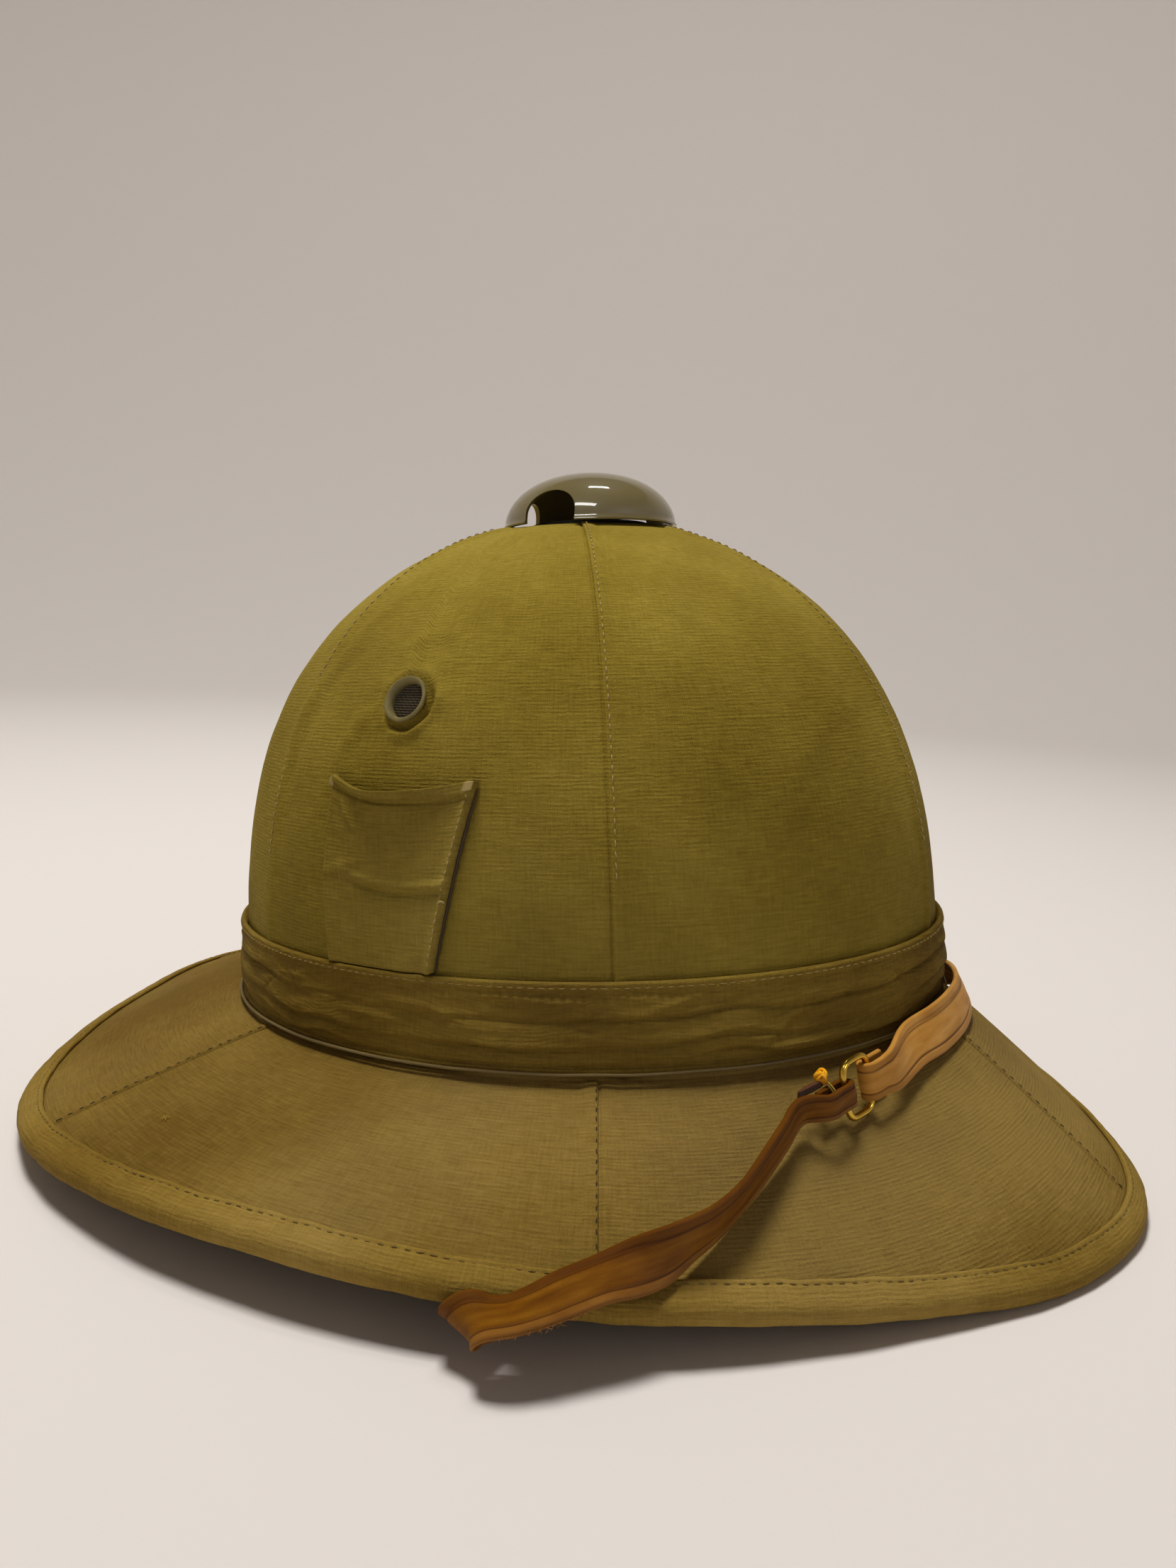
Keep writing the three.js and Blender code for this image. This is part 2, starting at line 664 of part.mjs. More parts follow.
// Place, outward face and width of a strap row, in the helmet's frame.
function strapStation(row) {
  if (row.on === "crown") {
    const inset = 2 * clearance + strapThickness / 2;
    const face = domeNormal(row.angle, row.height).negate().applyMatrix4(crownTurn);
    const place = insideDome(row.angle, row.height, 0).applyMatrix4(crownTurn);
    place.z += crownBaseHeight;
    return { place: place.addScaledVector(face, inset), face, width: strapWidth };
  }
  const line = brimLine(row.angle);
  const rearward = new THREE.Vector3(-sine(row.angle), -cosine(row.angle), 0);
  const sideways = standing(row.angle, line.slope)
    .multiplyScalar(cosine(row.swing))
    .addScaledVector(rearward, Math.sign(row.angle) * sine(row.swing));
  return {
    place: standing(row.angle, brimPlane(line, row.angle, row.out, row.lift)),
    face: standing(row.angle, line.normal)
      .multiplyScalar(cosine(row.turn))
      .addScaledVector(sideways, sine(row.turn)),
    width: row.width ?? strapWidth,
  };
}

// The buckle's centre and its directions: along the strap, across it and away from the brim.
function buckleFrame() {
  const seat = strapStation(buckleSeat);
  const before = strapStation(nearRoute[nearRoute.length - 1]).place;
  const after = strapStation(frontRoute[0]).place;
  const run = after.sub(before).normalize();
  const side = seat.face.clone().cross(run).normalize();
  const away = run.clone().cross(side);
  return { place: seat.place, along: run, across: side.negate(), away };
}

// Rows of a strap's end that goes over one bar of the buckle and folds back under it.
function buckleFold(direction, startWidth, foldWidth) {
  const { place: middle, along, away } = buckleFrame();
  const bendRadius = buckleWireRadius + clearance + strapThickness / 2;
  const barPlace = buckleHalfLength - buckleWireRadius;
  const at = (forward, up) =>
    middle.clone().addScaledVector(along, -direction * forward).addScaledVector(away, up);
  const rows = [
    { place: at(barPlace + strapFoldLength, bendRadius), face: away.clone(), width: startWidth },
    { place: at(barPlace + strapFoldLength / 2, bendRadius), face: away.clone(), width: foldWidth },
  ];
  for (const turn of [90, 45, 0, -45, -90]) {
    const face = away.clone().multiplyScalar(sine(turn)).addScaledVector(along, direction * cosine(turn));
    const place = at(barPlace - bendRadius * cosine(turn), bendRadius * sine(turn));
    rows.push({ place, face, width: foldWidth });
  }
  for (const share of [0.5, 1]) {
    const place = at(barPlace + share * strapFoldLength, -bendRadius);
    rows.push({ place, face: away.clone().negate(), width: foldWidth });
  }
  return rows;
}

// Solid strap through stations, a flat section carried along a smooth curve.
function strapGeometry(stations) {
  const places = new THREE.CatmullRomCurve3(stations.map((station) => station.place), false, "centripetal");
  const faces = new THREE.CatmullRomCurve3(stations.map((station) => station.face), false, "catmullrom");
  const steps = (stations.length - 1) * strapStepsPerRow;
  const sections = [];
  for (let step = 0; step <= steps; step += 1) {
    const share = step / steps;
    const before = stations[Math.floor(step / strapStepsPerRow)];
    const after = stations[Math.ceil(step / strapStepsPerRow)];
    const width = mix(before.width, after.width, (step % strapStepsPerRow) / strapStepsPerRow);
    const centre = places.getPoint(share);
    const ahead = places.getTangent(share);
    const across = faces.getPoint(share).cross(ahead).normalize();
    const away = ahead.clone().cross(across).normalize();
    const corners = [[1, 1], [-1, 1], [-1, -1], [1, -1]];
    sections.push(
      corners.map(([side, up]) =>
        centre
          .clone()
          .addScaledVector(across, (side * width) / 2)
          .addScaledVector(away, (up * strapThickness) / 2),
      ),
    );
  }
  return loftGeometry(sections, false);
}

function makeLowerStrap() {
  const fold = buckleFold(1, strapPinchWidth, strapPinchWidth);
  const solid = toSolid(strapGeometry([...nearRoute.map(strapStation), ...fold]));
  return fromSolid(solid.subtract(toSolid(standUp(rivetShank(1, clearance)))));
}

function makeFrontStrap() {
  const fold = buckleFold(-1, strapWidth, strapFoldWidth).reverse();
  const solid = toSolid(strapGeometry([...fold, ...frontRoute.map(strapStation)]));
  return fromSolid(solid.subtract(toSolid(standUp(rivetShank(-1, clearance)))));
}

function makeBuckle() {
  const { place, along, across, away } = buckleFrame();
  const sections = [];
  for (let step = 0; step < buckleSegments; step += 1) {
    const turn = (step / buckleSegments) * 360;
    const lengthShare = Math.sign(cosine(turn)) * Math.abs(cosine(turn)) ** buckleSquareness;
    const heightShare = Math.sign(sine(turn)) * Math.abs(sine(turn)) ** buckleSquareness;
    const outward = along.clone().multiplyScalar(cosine(turn)).addScaledVector(across, sine(turn));
    const centre = place
      .clone()
      .addScaledVector(along, (buckleHalfLength - buckleWireRadius) * lengthShare)
      .addScaledVector(across, (buckleHalfHeight - buckleWireRadius) * heightShare);
    const section = [];
    for (let side = 0; side < buckleWireSides; side += 1) {
      const wireTurn = (side / buckleWireSides) * 360;
      section.push(
        centre
          .clone()
          .addScaledVector(outward, buckleWireRadius * cosine(wireTurn))
          .addScaledVector(away, buckleWireRadius * sine(wireTurn)),
      );
    }
    sections.push(section);
  }
  return loftGeometry(sections, true);
}

// Geometry of the crown's own frame carried into the helmet's frame.
const standUp = (geometry) => geometry.rotateY(-crownTilt * radians).translate(0, 0, crownBaseHeight);

// Where a rivet passes the crown's inner wall, and the way into the crown there.
function rivetSeat(side) {
  const angle = side * nearRoute[0].angle;
  const place = insideDome(angle, strapTabHeight, 0);
  return { place, inwards: domeNormal(angle, strapTabHeight).negate() };
}

function rivetShank(side, gap) {
  const { place, inwards } = rivetSeat(side);
  const strapFace = 3 * clearance + strapThickness;
  const depth = rivetShankDepth + gap;
  const shank = new THREE.CylinderGeometry(
    rivetShankRadius + gap,
    rivetShankRadius + gap,
    depth + strapFace + gap,
    rivetSegments,
  );
  shank.rotateX(Math.PI / 2).translate(0, 0, (strapFace + gap - depth) / 2);
  return aimed(shank, inwards, place);
}

function makeRivet(side) {
  const { place, inwards } = rivetSeat(side);
  const headFace = 3 * clearance + strapThickness;
  const profile = [
    [0, -rivetShankDepth],
    [rivetShankRadius, -rivetShankDepth],
    [rivetShankRadius, headFace],
    [rivetHeadRadius, headFace],
    [rivetHeadRadius - rivetRounding, headFace + rivetHeadThickness],
    [0, headFace + rivetHeadThickness],
  ];
  return aimed(turned(profile, rivetSegments), inwards, place);
}

// Finishes

const finish = (color, roughness, metalness) => new THREE.MeshStandardMaterial({ color, roughness, metalness });
const crownCloth = { color: 0x8a7440, roughness: 0.92, metalness: 0 };
const brimCloth = { color: 0x8c7848, roughness: 0.92, metalness: 0 };
const bandCloth = { color: 0x75613a, roughness: 0.92, metalness: 0 };
const bindingCloth = { color: 0x917a42, roughness: 0.9, metalness: 0 };
const paintedCap = { color: 0x6f6640, roughness: 0.22, metalness: 0.2 };
const darkMetal = { color: 0x57502f, roughness: 0.45, metalness: 0.6 };
const gauzeWire = { color: 0x2b2620, roughness: 0.7, metalness: 0.3 };
const tanLeather = { color: 0xa2661f, roughness: 0.5, metalness: 0 };
const brass = { color: 0xb8973f, roughness: 0.28, metalness: 1 };

function addPiece(parent, name, geometry, look) {
  const mesh = new THREE.Mesh(geometry, finish(look.color, look.roughness, look.metalness));
  mesh.name = name;
  parent.add(mesh);
}

const helmet = new THREE.Group();
const crownGroup = new THREE.Group();
crownGroup.rotation.y = -crownTilt * radians;
crownGroup.position.z = crownBaseHeight;
helmet.add(crownGroup);

addPiece(crownGroup, "crown", makeCrown(), crownCloth);
addPiece(crownGroup, "hat_band", makeHatBand(), bandCloth);
addPiece(crownGroup, "pocket", makePocket(), crownCloth);
addPiece(crownGroup, "vent_collar", makeVentCollar(), darkMetal);
addPiece(crownGroup, "vent_cap", makeVentCap(), paintedCap);
for (const [name, side] of [["right", 1], ["left", -1]]) {
  addPiece(crownGroup, `side_vent_${name}`, makeSideVent(side), darkMetal);
  addPiece(crownGroup, `side_gauze_${name}`, makeGauze(side), gauzeWire);
  addPiece(crownGroup, `strap_rivet_${name}`, makeRivet(side), brass);
}
addPiece(helmet, "brim", makeBrim(), brimCloth);
addPiece(helmet, "rim_binding", makeRimBinding(), bindingCloth);
addPiece(helmet, "chin_strap_lower", makeLowerStrap(), tanLeather);
addPiece(helmet, "chin_strap_front", makeFrontStrap(), tanLeather);
addPiece(helmet, "strap_buckle", makeBuckle(), brass);

// The origin is under the middle of the helmet, on the surface that it stands on.
helmet.updateMatrixWorld(true);
const extent = new THREE.Box3().setFromObject(helmet);
helmet.position.x = -(extent.min.x + extent.max.x) / 2;
helmet.position.y = -(extent.min.y + extent.max.y) / 2;

export default helmet;
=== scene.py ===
"""Pith helmet: the detailed visual model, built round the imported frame.

Lengths in the helpers are millimetres in the helmet's frame and are turned to metres when a mesh is made.
+X is the wearer's front, +Y the left side and +Z is up. A side angle is counted from the front to the right.
"""
import math
import bmesh
import bpy
import numpy as np
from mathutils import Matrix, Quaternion, Vector


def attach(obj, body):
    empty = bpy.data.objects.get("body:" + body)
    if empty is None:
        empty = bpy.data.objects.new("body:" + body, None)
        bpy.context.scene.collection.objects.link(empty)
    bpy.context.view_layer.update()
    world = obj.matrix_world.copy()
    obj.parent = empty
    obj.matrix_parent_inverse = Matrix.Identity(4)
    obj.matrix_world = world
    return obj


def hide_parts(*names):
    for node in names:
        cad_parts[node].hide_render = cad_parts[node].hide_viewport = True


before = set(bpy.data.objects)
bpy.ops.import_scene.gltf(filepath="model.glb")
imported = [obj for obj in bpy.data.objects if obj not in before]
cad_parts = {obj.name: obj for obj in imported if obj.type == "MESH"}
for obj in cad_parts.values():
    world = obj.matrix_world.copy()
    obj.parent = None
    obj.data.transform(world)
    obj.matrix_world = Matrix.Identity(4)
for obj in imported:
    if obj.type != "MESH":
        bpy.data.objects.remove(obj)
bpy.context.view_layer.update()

# Sizes shared with the part's source
CROWN_LENGTH = 116.0
CROWN_WIDTH = 104.8
CROWN_HEIGHT = 150.5
TILT = math.radians(5.31)
BASE_HEIGHT = 38.9
FULLNESS = 2.83
CROWN_FLAT = 3.0
SHELL = 4.8
CLEARANCE = 0.3
PANELS = 6
BRIM_LENGTH = 180.0
BRIM_SIDE_LIFT = 12.0
BRIM_BOW = 1.5
RIM_FLATTENING = 0.6
BINDING = 1.2
BINDING_TOP = 4.8
BINDING_UNDER = 8.0
BAND_HEIGHT = 24.8
BAND_THICKNESS = 1.0
BAND_FOLD_DEPTH = 1.1
BAND_INNER = 0.9
CAP_FORWARD = 5.4
CAP_RADIUS = 28.0
CAP_HEIGHT = 17.5
CAP_THICKNESS = 1.2
CAP_SEAT = CROWN_HEIGHT - CROWN_FLAT + CLEARANCE
OPENING_WIDTH = 17.5
OPENING_SHOULDER = 3.0
OPENING_ARCH = 7.0
COLLAR_RADIUS = 11.8
VENT_HEIGHT = 95.2
VENT_ANGLE = 92.4
VENT_RADIUS = 6.8
VENT_BORE = 4.7
VENT_HOLE = 5.6
STRAP_WIDTH = 12.0
STRAP_THICKNESS = 1.6
FOLD_WIDTH = 10.0
PINCH_WIDTH = 6.4
FOLD_LENGTH = 8.0
BUCKLE_HEIGHT = 8.2
BUCKLE_LENGTH = 6.0
BUCKLE_WIRE = 0.9

# Rim seen from above, every 15 degrees from the front to the back
RIM_REACH = [1.0, 0.969, 0.913, 0.889, 0.892, 0.895, 0.908, 0.94, 0.974, 0.981, 0.97, 0.972, 1.0]
RIM_LIFT = [0.0, 0.0, 0.25, 0.58, 0.83, 0.96, 1.0, 0.83, 0.5, 0.1, 0.0, 0.0, 0.0]
RIM_BOW = [1.0, 1.0, 0.8, 0.6, 0.4, 0.4, 0.4, 0.6, 0.8, 1.0, 1.0, 1.0, 1.0]

# Chin strap rows on the brim: side angle, share of the way out, lift, turn of the face, swing, width
NEAR_ROUTE = [
    (60, -0.06, -9.5, 235, 0, 12), (61, 0.2, -11, 190, 0, 12), (62.5, 0.45, -10.6, 180, 0, 12),
    (64.5, 0.7, -10.6, 180, 0, 12), (67, 0.92, -9.8, 180, 30, 12), (69.2, 1.07, -7.7, 165, 30, 12),
    (70.1, 1.13, -5, 125, 28, 12), (70.1, 1.16, -1.8, 82, 28, 12), (69.4, 1.16, 0.9, 34, 28, 12),
    (68.1, 1.157, 2.6, -12, 0, 12), (66.5, 1.14, 3.2, -20, 0, 12), (64.6, 1.096, 3.7, -17, 0, 12),
    (62.4, 1.034, 4.3, -10, 0, 12), (59.9, 0.974, 4.6, -8, 0, 12), (57.5, 0.93, 5.2, 12, -30, 12),
    (55.2, 0.89, 6.5, 40, -32, 12), (52.8, 0.83, 7.3, 64, -32, 12), (50.2, 0.758, 7.2, 74, -33, 12),
    (47.2, 0.65, 6.9, 77, -38, 12), (44, 0.52, 6.6, 70, -39, 11), (40.6, 0.388, 6.6, 62, -40, 9.2),
    (37.5, 0.285, 6.8, 54, -36, 7.6),
]
BUCKLE_SEAT = (29.2, 0.21, 6.9, 42, -30, 12)
RIM_ROWS = 13
FRONT_ROUTE = [
    (16, 0.095, 5.5, 22, 0, 12.6), (8, 0.08, 4.9, 28, 0, 13.6), (0, 0.075, 4.9, 30, 0, 13.6),
    (-8, 0.078, 4.9, 28, 0, 13), (-17, 0.09, 4.6, 22, 0, 12), (-27, 0.15, 3.8, 10, 0, 12),
    (-35, 0.27, 2.9, 0, 0, 12), (-42, 0.43, 2.6, 0, 0, 12), (-48.5, 0.62, 2.6, 0, 0, 12),
    (-54, 0.8, 2.8, -6, 0, 12), (-59, 0.94, 3.6, -12, 0, 12),
]
FRONT_ROUTE += [(-row[0], *row[1:]) for row in NEAR_ROUTE[:RIM_ROWS][::-1]]
CROWN_ROWS = (16, 4)
STRAP_ANGLE = 60

cos, sin = np.cos, np.sin
rad = np.radians


def cosd(turn):
    """Cosine of an angle in degrees."""
    return cos(rad(turn))


def sind(turn):
    """Sine of an angle in degrees."""
    return sin(rad(turn))


def lerp(a, b, t):
    return a + (b - a) * t


def smooth(t):
    """Soft step from 0 to 1."""
    t = np.clip(t, 0, 1)
    return t * t * (3 - 2 * t)


def bump(t):
    """Soft hump, 1 at 0 and 0 from 1 outwards."""
    t = np.clip(np.abs(t), 0, 1)
    return (1 - t * t) ** 2


def gauss(t):
    return np.exp(-t * t)


def noise(points, size, seed):
    """Smooth noise from -1 to 1 with lumps about as wide as size, on points in mm."""
    table = np.random.default_rng(seed).uniform(-1, 1, 4096)
    scaled = np.asarray(points, float) / size + 137.0
    cell = np.floor(scaled).astype(np.int64)
    part = scaled - cell
    part = part * part * (3 - 2 * part)
    total = 0
    for dx in (0, 1):
        for dy in (0, 1):
            for dz in (0, 1):
                key = (cell[..., 0] + dx) * 73856093 ^ (cell[..., 1] + dy) * 19349663
                key = key ^ (cell[..., 2] + dz) * 83492791
                weight = (
                    (part[..., 0] if dx else 1 - part[..., 0])
                    * (part[..., 1] if dy else 1 - part[..., 1])
                    * (part[..., 2] if dz else 1 - part[..., 2])
                )
                total = total + table[key & 4095] * weight
    return total


def read_table(values, angle):
    """Smooth value of a rim column at a side angle, the same on both sides."""
    values = np.asarray(values, float)
    last = len(values) - 1
    wrapped = (np.asarray(angle, float) + 540) % 360 - 180
    place = np.abs(wrapped) / 180 * last
    start = np.minimum(np.floor(place).astype(int), last - 1)
    before, here, there, after = [
        values[last - np.abs(last - np.abs(start + offset))] for offset in (-1, 0, 1, 2)
    ]
    share = place - start
    slope_in = (there - before) / 2
    slope_out = (after - here) / 2
    bend = 2 * here - 2 * there + slope_in + slope_out
    pull = -3 * here + 3 * there - 2 * slope_in - slope_out
    return ((bend * share + pull) * share + slope_in) * share + here


def stood(points):
    """Points of the crown's own frame carried into the helmet's frame."""
    points = np.asarray(points, float)
    x, y, z = points[..., 0], points[..., 1], points[..., 2]
    forward = x * math.cos(TILT) - z * math.sin(TILT)
    height = x * math.sin(TILT) + z * math.cos(TILT) + BASE_HEIGHT
    return np.stack([forward, y, height], -1)


def turned_up(vectors):
    """Directions of the crown's own frame turned into the helmet's frame."""
    return stood(vectors) - np.array([0, 0, BASE_HEIGHT])


def unit(vectors):
    return vectors / np.maximum(np.linalg.norm(vectors, axis=-1, keepdims=True), 1e-12)


def dome_share(height, top=CROWN_HEIGHT):
    return np.sqrt(np.maximum(1 - (np.maximum(height, 0) / top) ** FULLNESS, 1e-9))


def dome_point(angle, height, offset=0.0):
    share = dome_share(height)
    along = CROWN_LENGTH * share + offset
    across = CROWN_WIDTH * share + offset
    height = np.asarray(height, float)
    x = along * cosd(angle)
    y = -across * sind(angle)
    return np.stack([x, y, np.broadcast_to(height, x.shape)], -1)


def dome_normal(angle, height):
    step = 0.5
    sideways = dome_point(angle + step, height) - dome_point(angle - step, height)
    upwards = dome_point(angle, height + step) - dome_point(angle, height - step)
    return unit(np.cross(upwards, sideways))


def dome_top(x, y, inset):
    away = (x / (CROWN_LENGTH - inset)) ** 2 + (y / (CROWN_WIDTH - inset)) ** 2
    height = (CROWN_HEIGHT - inset) * np.maximum(1 - away, 0) ** (1 / FULLNESS)
    return np.minimum(height, CROWN_HEIGHT - inset - CROWN_FLAT)


def base_point(angle, inset):
    along = (CROWN_LENGTH - inset) * math.cos(TILT)
    across = CROWN_WIDTH - inset
    radius = 1 / np.hypot(cosd(angle) / along, sind(angle) / across)
    return radius, BASE_HEIGHT + radius * cosd(angle) * math.tan(TILT)


def brim_point(angle, out, lift):
    """Point on or off the brim's upper face: side angle, share of the way out, height off the cloth."""
    angle = np.asarray(angle, float)
    start, slope, normal, length = brim_line(angle)
    inside = np.clip(out, 0, 1)
    bow = 4 * BRIM_BOW * read_table(RIM_BOW, angle) * inside * (1 - inside)
    flat = [start[i] + slope[i] * out * length + normal[i] * (lift + bow) for i in (0, 1)]
    return np.stack([flat[0] * cosd(angle), -flat[0] * sind(angle), flat[1]], -1)


def brim_line(angle):
    roll = SHELL / 2 + CLEARANCE + BINDING
    start = base_point(angle, 0)
    middle_r = BRIM_LENGTH * read_table(RIM_REACH, angle) - roll
    middle_z = BRIM_SIDE_LIFT * np.maximum(read_table(RIM_LIFT, angle), 0) + roll - RIM_FLATTENING
    run, rise = middle_r - start[0], middle_z - start[1]
    rough = np.hypot(run, rise)
    end_r = middle_r - rise / rough * SHELL / 2
    end_z = middle_z + run / rough * SHELL / 2
    run, rise = end_r - start[0], end_z - start[1]
    length = np.hypot(run, rise)
    return start, (run / length, rise / length), (-rise / length, run / length), length


def upright(angle, flat):
    """Direction in the upright plane at a side angle, from its outward and upward shares."""
    return np.array([flat[0] * cosd(angle), -flat[0] * sind(angle), flat[1]])


# Meshes


def grid_normals(grid, ring):
    """Unit normals of a grid of points by central differences."""
    if ring:
        along = np.roll(grid, -1, 0) - np.roll(grid, 1, 0)
    else:
        along = np.gradient(grid, axis=0)
    across = np.gradient(grid, axis=1)
    return unit(np.cross(along, across))


def ridden(name, mesh, material):
    """Object of a finished mesh, ridden on the one body."""
    obj = bpy.data.objects.new(name, mesh)
    bpy.context.scene.collection.objects.link(obj)
    mesh.materials.append(material)
    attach(obj, "root")
    return obj


def mesh_object(name, points, faces, material, uv=None):
    """Mesh object from points in mm and equal faces. uv has one pair for each face corner."""
    mesh = bpy.data.meshes.new(name)
    points = np.asarray(points, float) * 0.001
    faces = np.asarray(faces, np.int32)
    corners = faces.shape[1]
    mesh.vertices.add(len(points))
    mesh.vertices.foreach_set("co", points.astype(np.float32).ravel())
    mesh.loops.add(faces.size)
    mesh.loops.foreach_set("vertex_index", faces.ravel())
    mesh.polygons.add(len(faces))
    mesh.polygons.foreach_set("loop_start", np.arange(0, faces.size, corners, dtype=np.int32))
    mesh.polygons.foreach_set("use_smooth", np.full(len(faces), True))
    if uv is not None:
        layer = mesh.uv_layers.new(name="UVMap")
        layer.data.foreach_set("uv", np.asarray(uv, np.float32).ravel())
    mesh.update(calc_edges=True)
    mesh.validate()
    return ridden(name, mesh, material)


def grid_faces(rows, columns, ring, tube):
    """Quads of a grid and the uv index of each corner. ring closes its first direction, tube its second."""
    first = np.arange(rows if ring else rows - 1)
    second = np.arange(columns if tube else columns - 1)
    a, b = np.meshgrid(first, second, indexing="ij")
    a, b = a.ravel(), b.ravel()
    corners = [(a, b), (a + 1, b), (a + 1, b + 1), (a, b + 1)]
    faces = np.stack([(i % rows) * columns + (j % columns) for i, j in corners], 1)
    wide = columns + (1 if tube else 0)
    uv_index = np.stack([i * wide + j for i, j in corners], 1)
    return faces, uv_index


def grid_object(name, grid, material, ring=False, tube=False, uv=None, caps=False):
    """Object from a grid of points. uv has one more row or column than the grid where it closes."""
    rows, columns = grid.shape[:2]
    faces, uv_index = grid_faces(rows, columns, ring, tube)
    points = grid.reshape(-1, 3)
    corners = None
    if uv is not None:
        corners = uv.reshape(-1, 2)[uv_index]
    quads = points[faces]
    turn = np.cross(quads[:, 1] - quads[:, 0], quads[:, 2] - quads[:, 0])
    outward = ((quads.mean(1) - points.mean(0)) * turn).sum()
    if (ring or tube) and outward < 0:
        faces = faces[:, ::-1]
        corners = corners[:, ::-1] if corners is not None else None
    obj = mesh_object(name, points, faces, material, corners)
    if caps:
        fix_normals(obj.data, True)
    return obj


def fix_normals(mesh, close=False):
    """Turns a mesh's faces outwards. Where close is set, its open loops are filled first."""
    work = bmesh.new()
    work.from_mesh(mesh)
    if close:
        edges = [edge for edge in work.edges if edge.is_boundary]
        bmesh.ops.holes_fill(work, edges=edges, sides=0)
    bmesh.ops.recalc_face_normals(work, faces=work.faces)
    work.to_mesh(mesh)
    work.free()


def closed_uv(grid, around, last_step):
    """uv in mm of a grid that closes both ways: a value for each row, and the length run along it."""
    steps = np.linalg.norm(np.diff(grid, axis=1), axis=-1)
    along = np.concatenate([np.zeros((len(grid), 1)), np.cumsum(steps, 1)], 1)
    along = np.concatenate([along, along[:, -1:] + last_step], 1)
    along = np.vstack([along, along[:1]])
    return np.stack([np.broadcast_to(around[:, None], along.shape), along], -1)


def apply_boolean(obj, cutter):
    """Cuts one object out of another and keeps the result as its mesh."""
    modifier = obj.modifiers.new("cut", "BOOLEAN")
    modifier.operation = "DIFFERENCE"
    modifier.solver = "EXACT"
    modifier.object = cutter
    bpy.context.view_layer.update()
    graph = bpy.context.evaluated_depsgraph_get()
    result = bpy.data.meshes.new_from_object(obj.evaluated_get(graph))
    obj.modifiers.clear()
    obj.data = result
    bpy.data.objects.remove(cutter)
    for polygon in result.polygons:
        polygon.use_smooth = True


def cut_prism(obj, near, far):
    """Cuts the prism between two like outlines, in mm, out of an object."""
    count = len(near)
    faces = [[i, (i + 1) % count, count + (i + 1) % count, count + i] for i in range(count)]
    faces += [list(range(count - 1, -1, -1)), list(range(count, 2 * count))]
    mesh = bpy.data.meshes.new("cutter")
    mesh.from_pydata((np.vstack([near, far]) * 0.001).tolist(), [], faces)
    fix_normals(mesh)
    cutter = bpy.data.objects.new("cutter", mesh)
    bpy.context.scene.collection.objects.link(cutter)
    apply_boolean(obj, cutter)


def swept_tube(path, radius, sides, ring=False, taper=False):
    """Points and quads of round tubes along paths of shape (steps, 3)."""
    path = np.asarray(path, float)
    if ring:
        ahead = unit(np.roll(path, -1, 0) - np.roll(path, 1, 0))
    else:
        ahead = unit(np.gradient(path, axis=0))
    guide = np.array([0.31, 0.52, 0.79])
    side = unit(np.cross(ahead, guide))
    up = np.cross(side, ahead)
    turn = np.arange(sides) / sides * 2 * math.pi
    widths = np.full(len(path), radius, float)
    if taper:
        widths = radius * np.sqrt(np.clip(1 - np.linspace(-0.98, 0.98, len(path)) ** 2, 0.02, 1)) ** 0.6
    points = (
        path[:, None]
        + side[:, None] * (cos(turn) * widths[:, None])[..., None]
        + up[:, None] * (sin(turn) * widths[:, None])[..., None]
    )
    faces, _ = grid_faces(len(path), sides, ring, True)
    return points.reshape(-1, 3), faces


class Bundle:
    """Many small tubes gathered into one object."""

    def __init__(self):
        self.points = []
        self.faces = []
        self.count = 0

    def add(self, path, radius, sides=6, ring=False, taper=True):
        points, faces = swept_tube(path, radius, sides, ring, taper)
        quads = [faces + self.count]
        steps = len(path)
        if not ring:
            ends = np.arange(sides)
            for start in (0, (steps - 1) * sides):
                rim = start + ends
                order = rim if start == 0 else rim[::-1]
                fan = [[order[0], order[i], order[i + 1], order[i + 1]] for i in range(1, sides - 1)]
                quads.append(np.array(fan) + self.count)
        self.points.append(points)
        self.faces.extend(quads)
        self.count += len(points)

    def build(self, name, material):
        return mesh_triangles(name, np.concatenate(self.points), np.concatenate(self.faces), material)


def mesh_triangles(name, points, faces, material):
    """Mesh object from quads of which some repeat a corner and so are triangles."""
    mesh = bpy.data.meshes.new(name)
    clean = [tuple(dict.fromkeys(face)) for face in faces.tolist()]
    mesh.from_pydata((points * 0.001).tolist(), [], clean)
    fix_normals(mesh)
    for polygon in mesh.polygons:
        polygon.use_smooth = True
    return ridden(name, mesh, material)


def run_lengths(path, ring):
    """Length along a path at each of its points, and the whole length."""
    after = np.roll(path, -1, 0) if ring else path[1:]
    steps = np.linalg.norm(after - (path if ring else path[:-1]), axis=1)
    whole = steps.sum()
    return np.concatenate([[0], np.cumsum(steps)])[: len(path)], whole


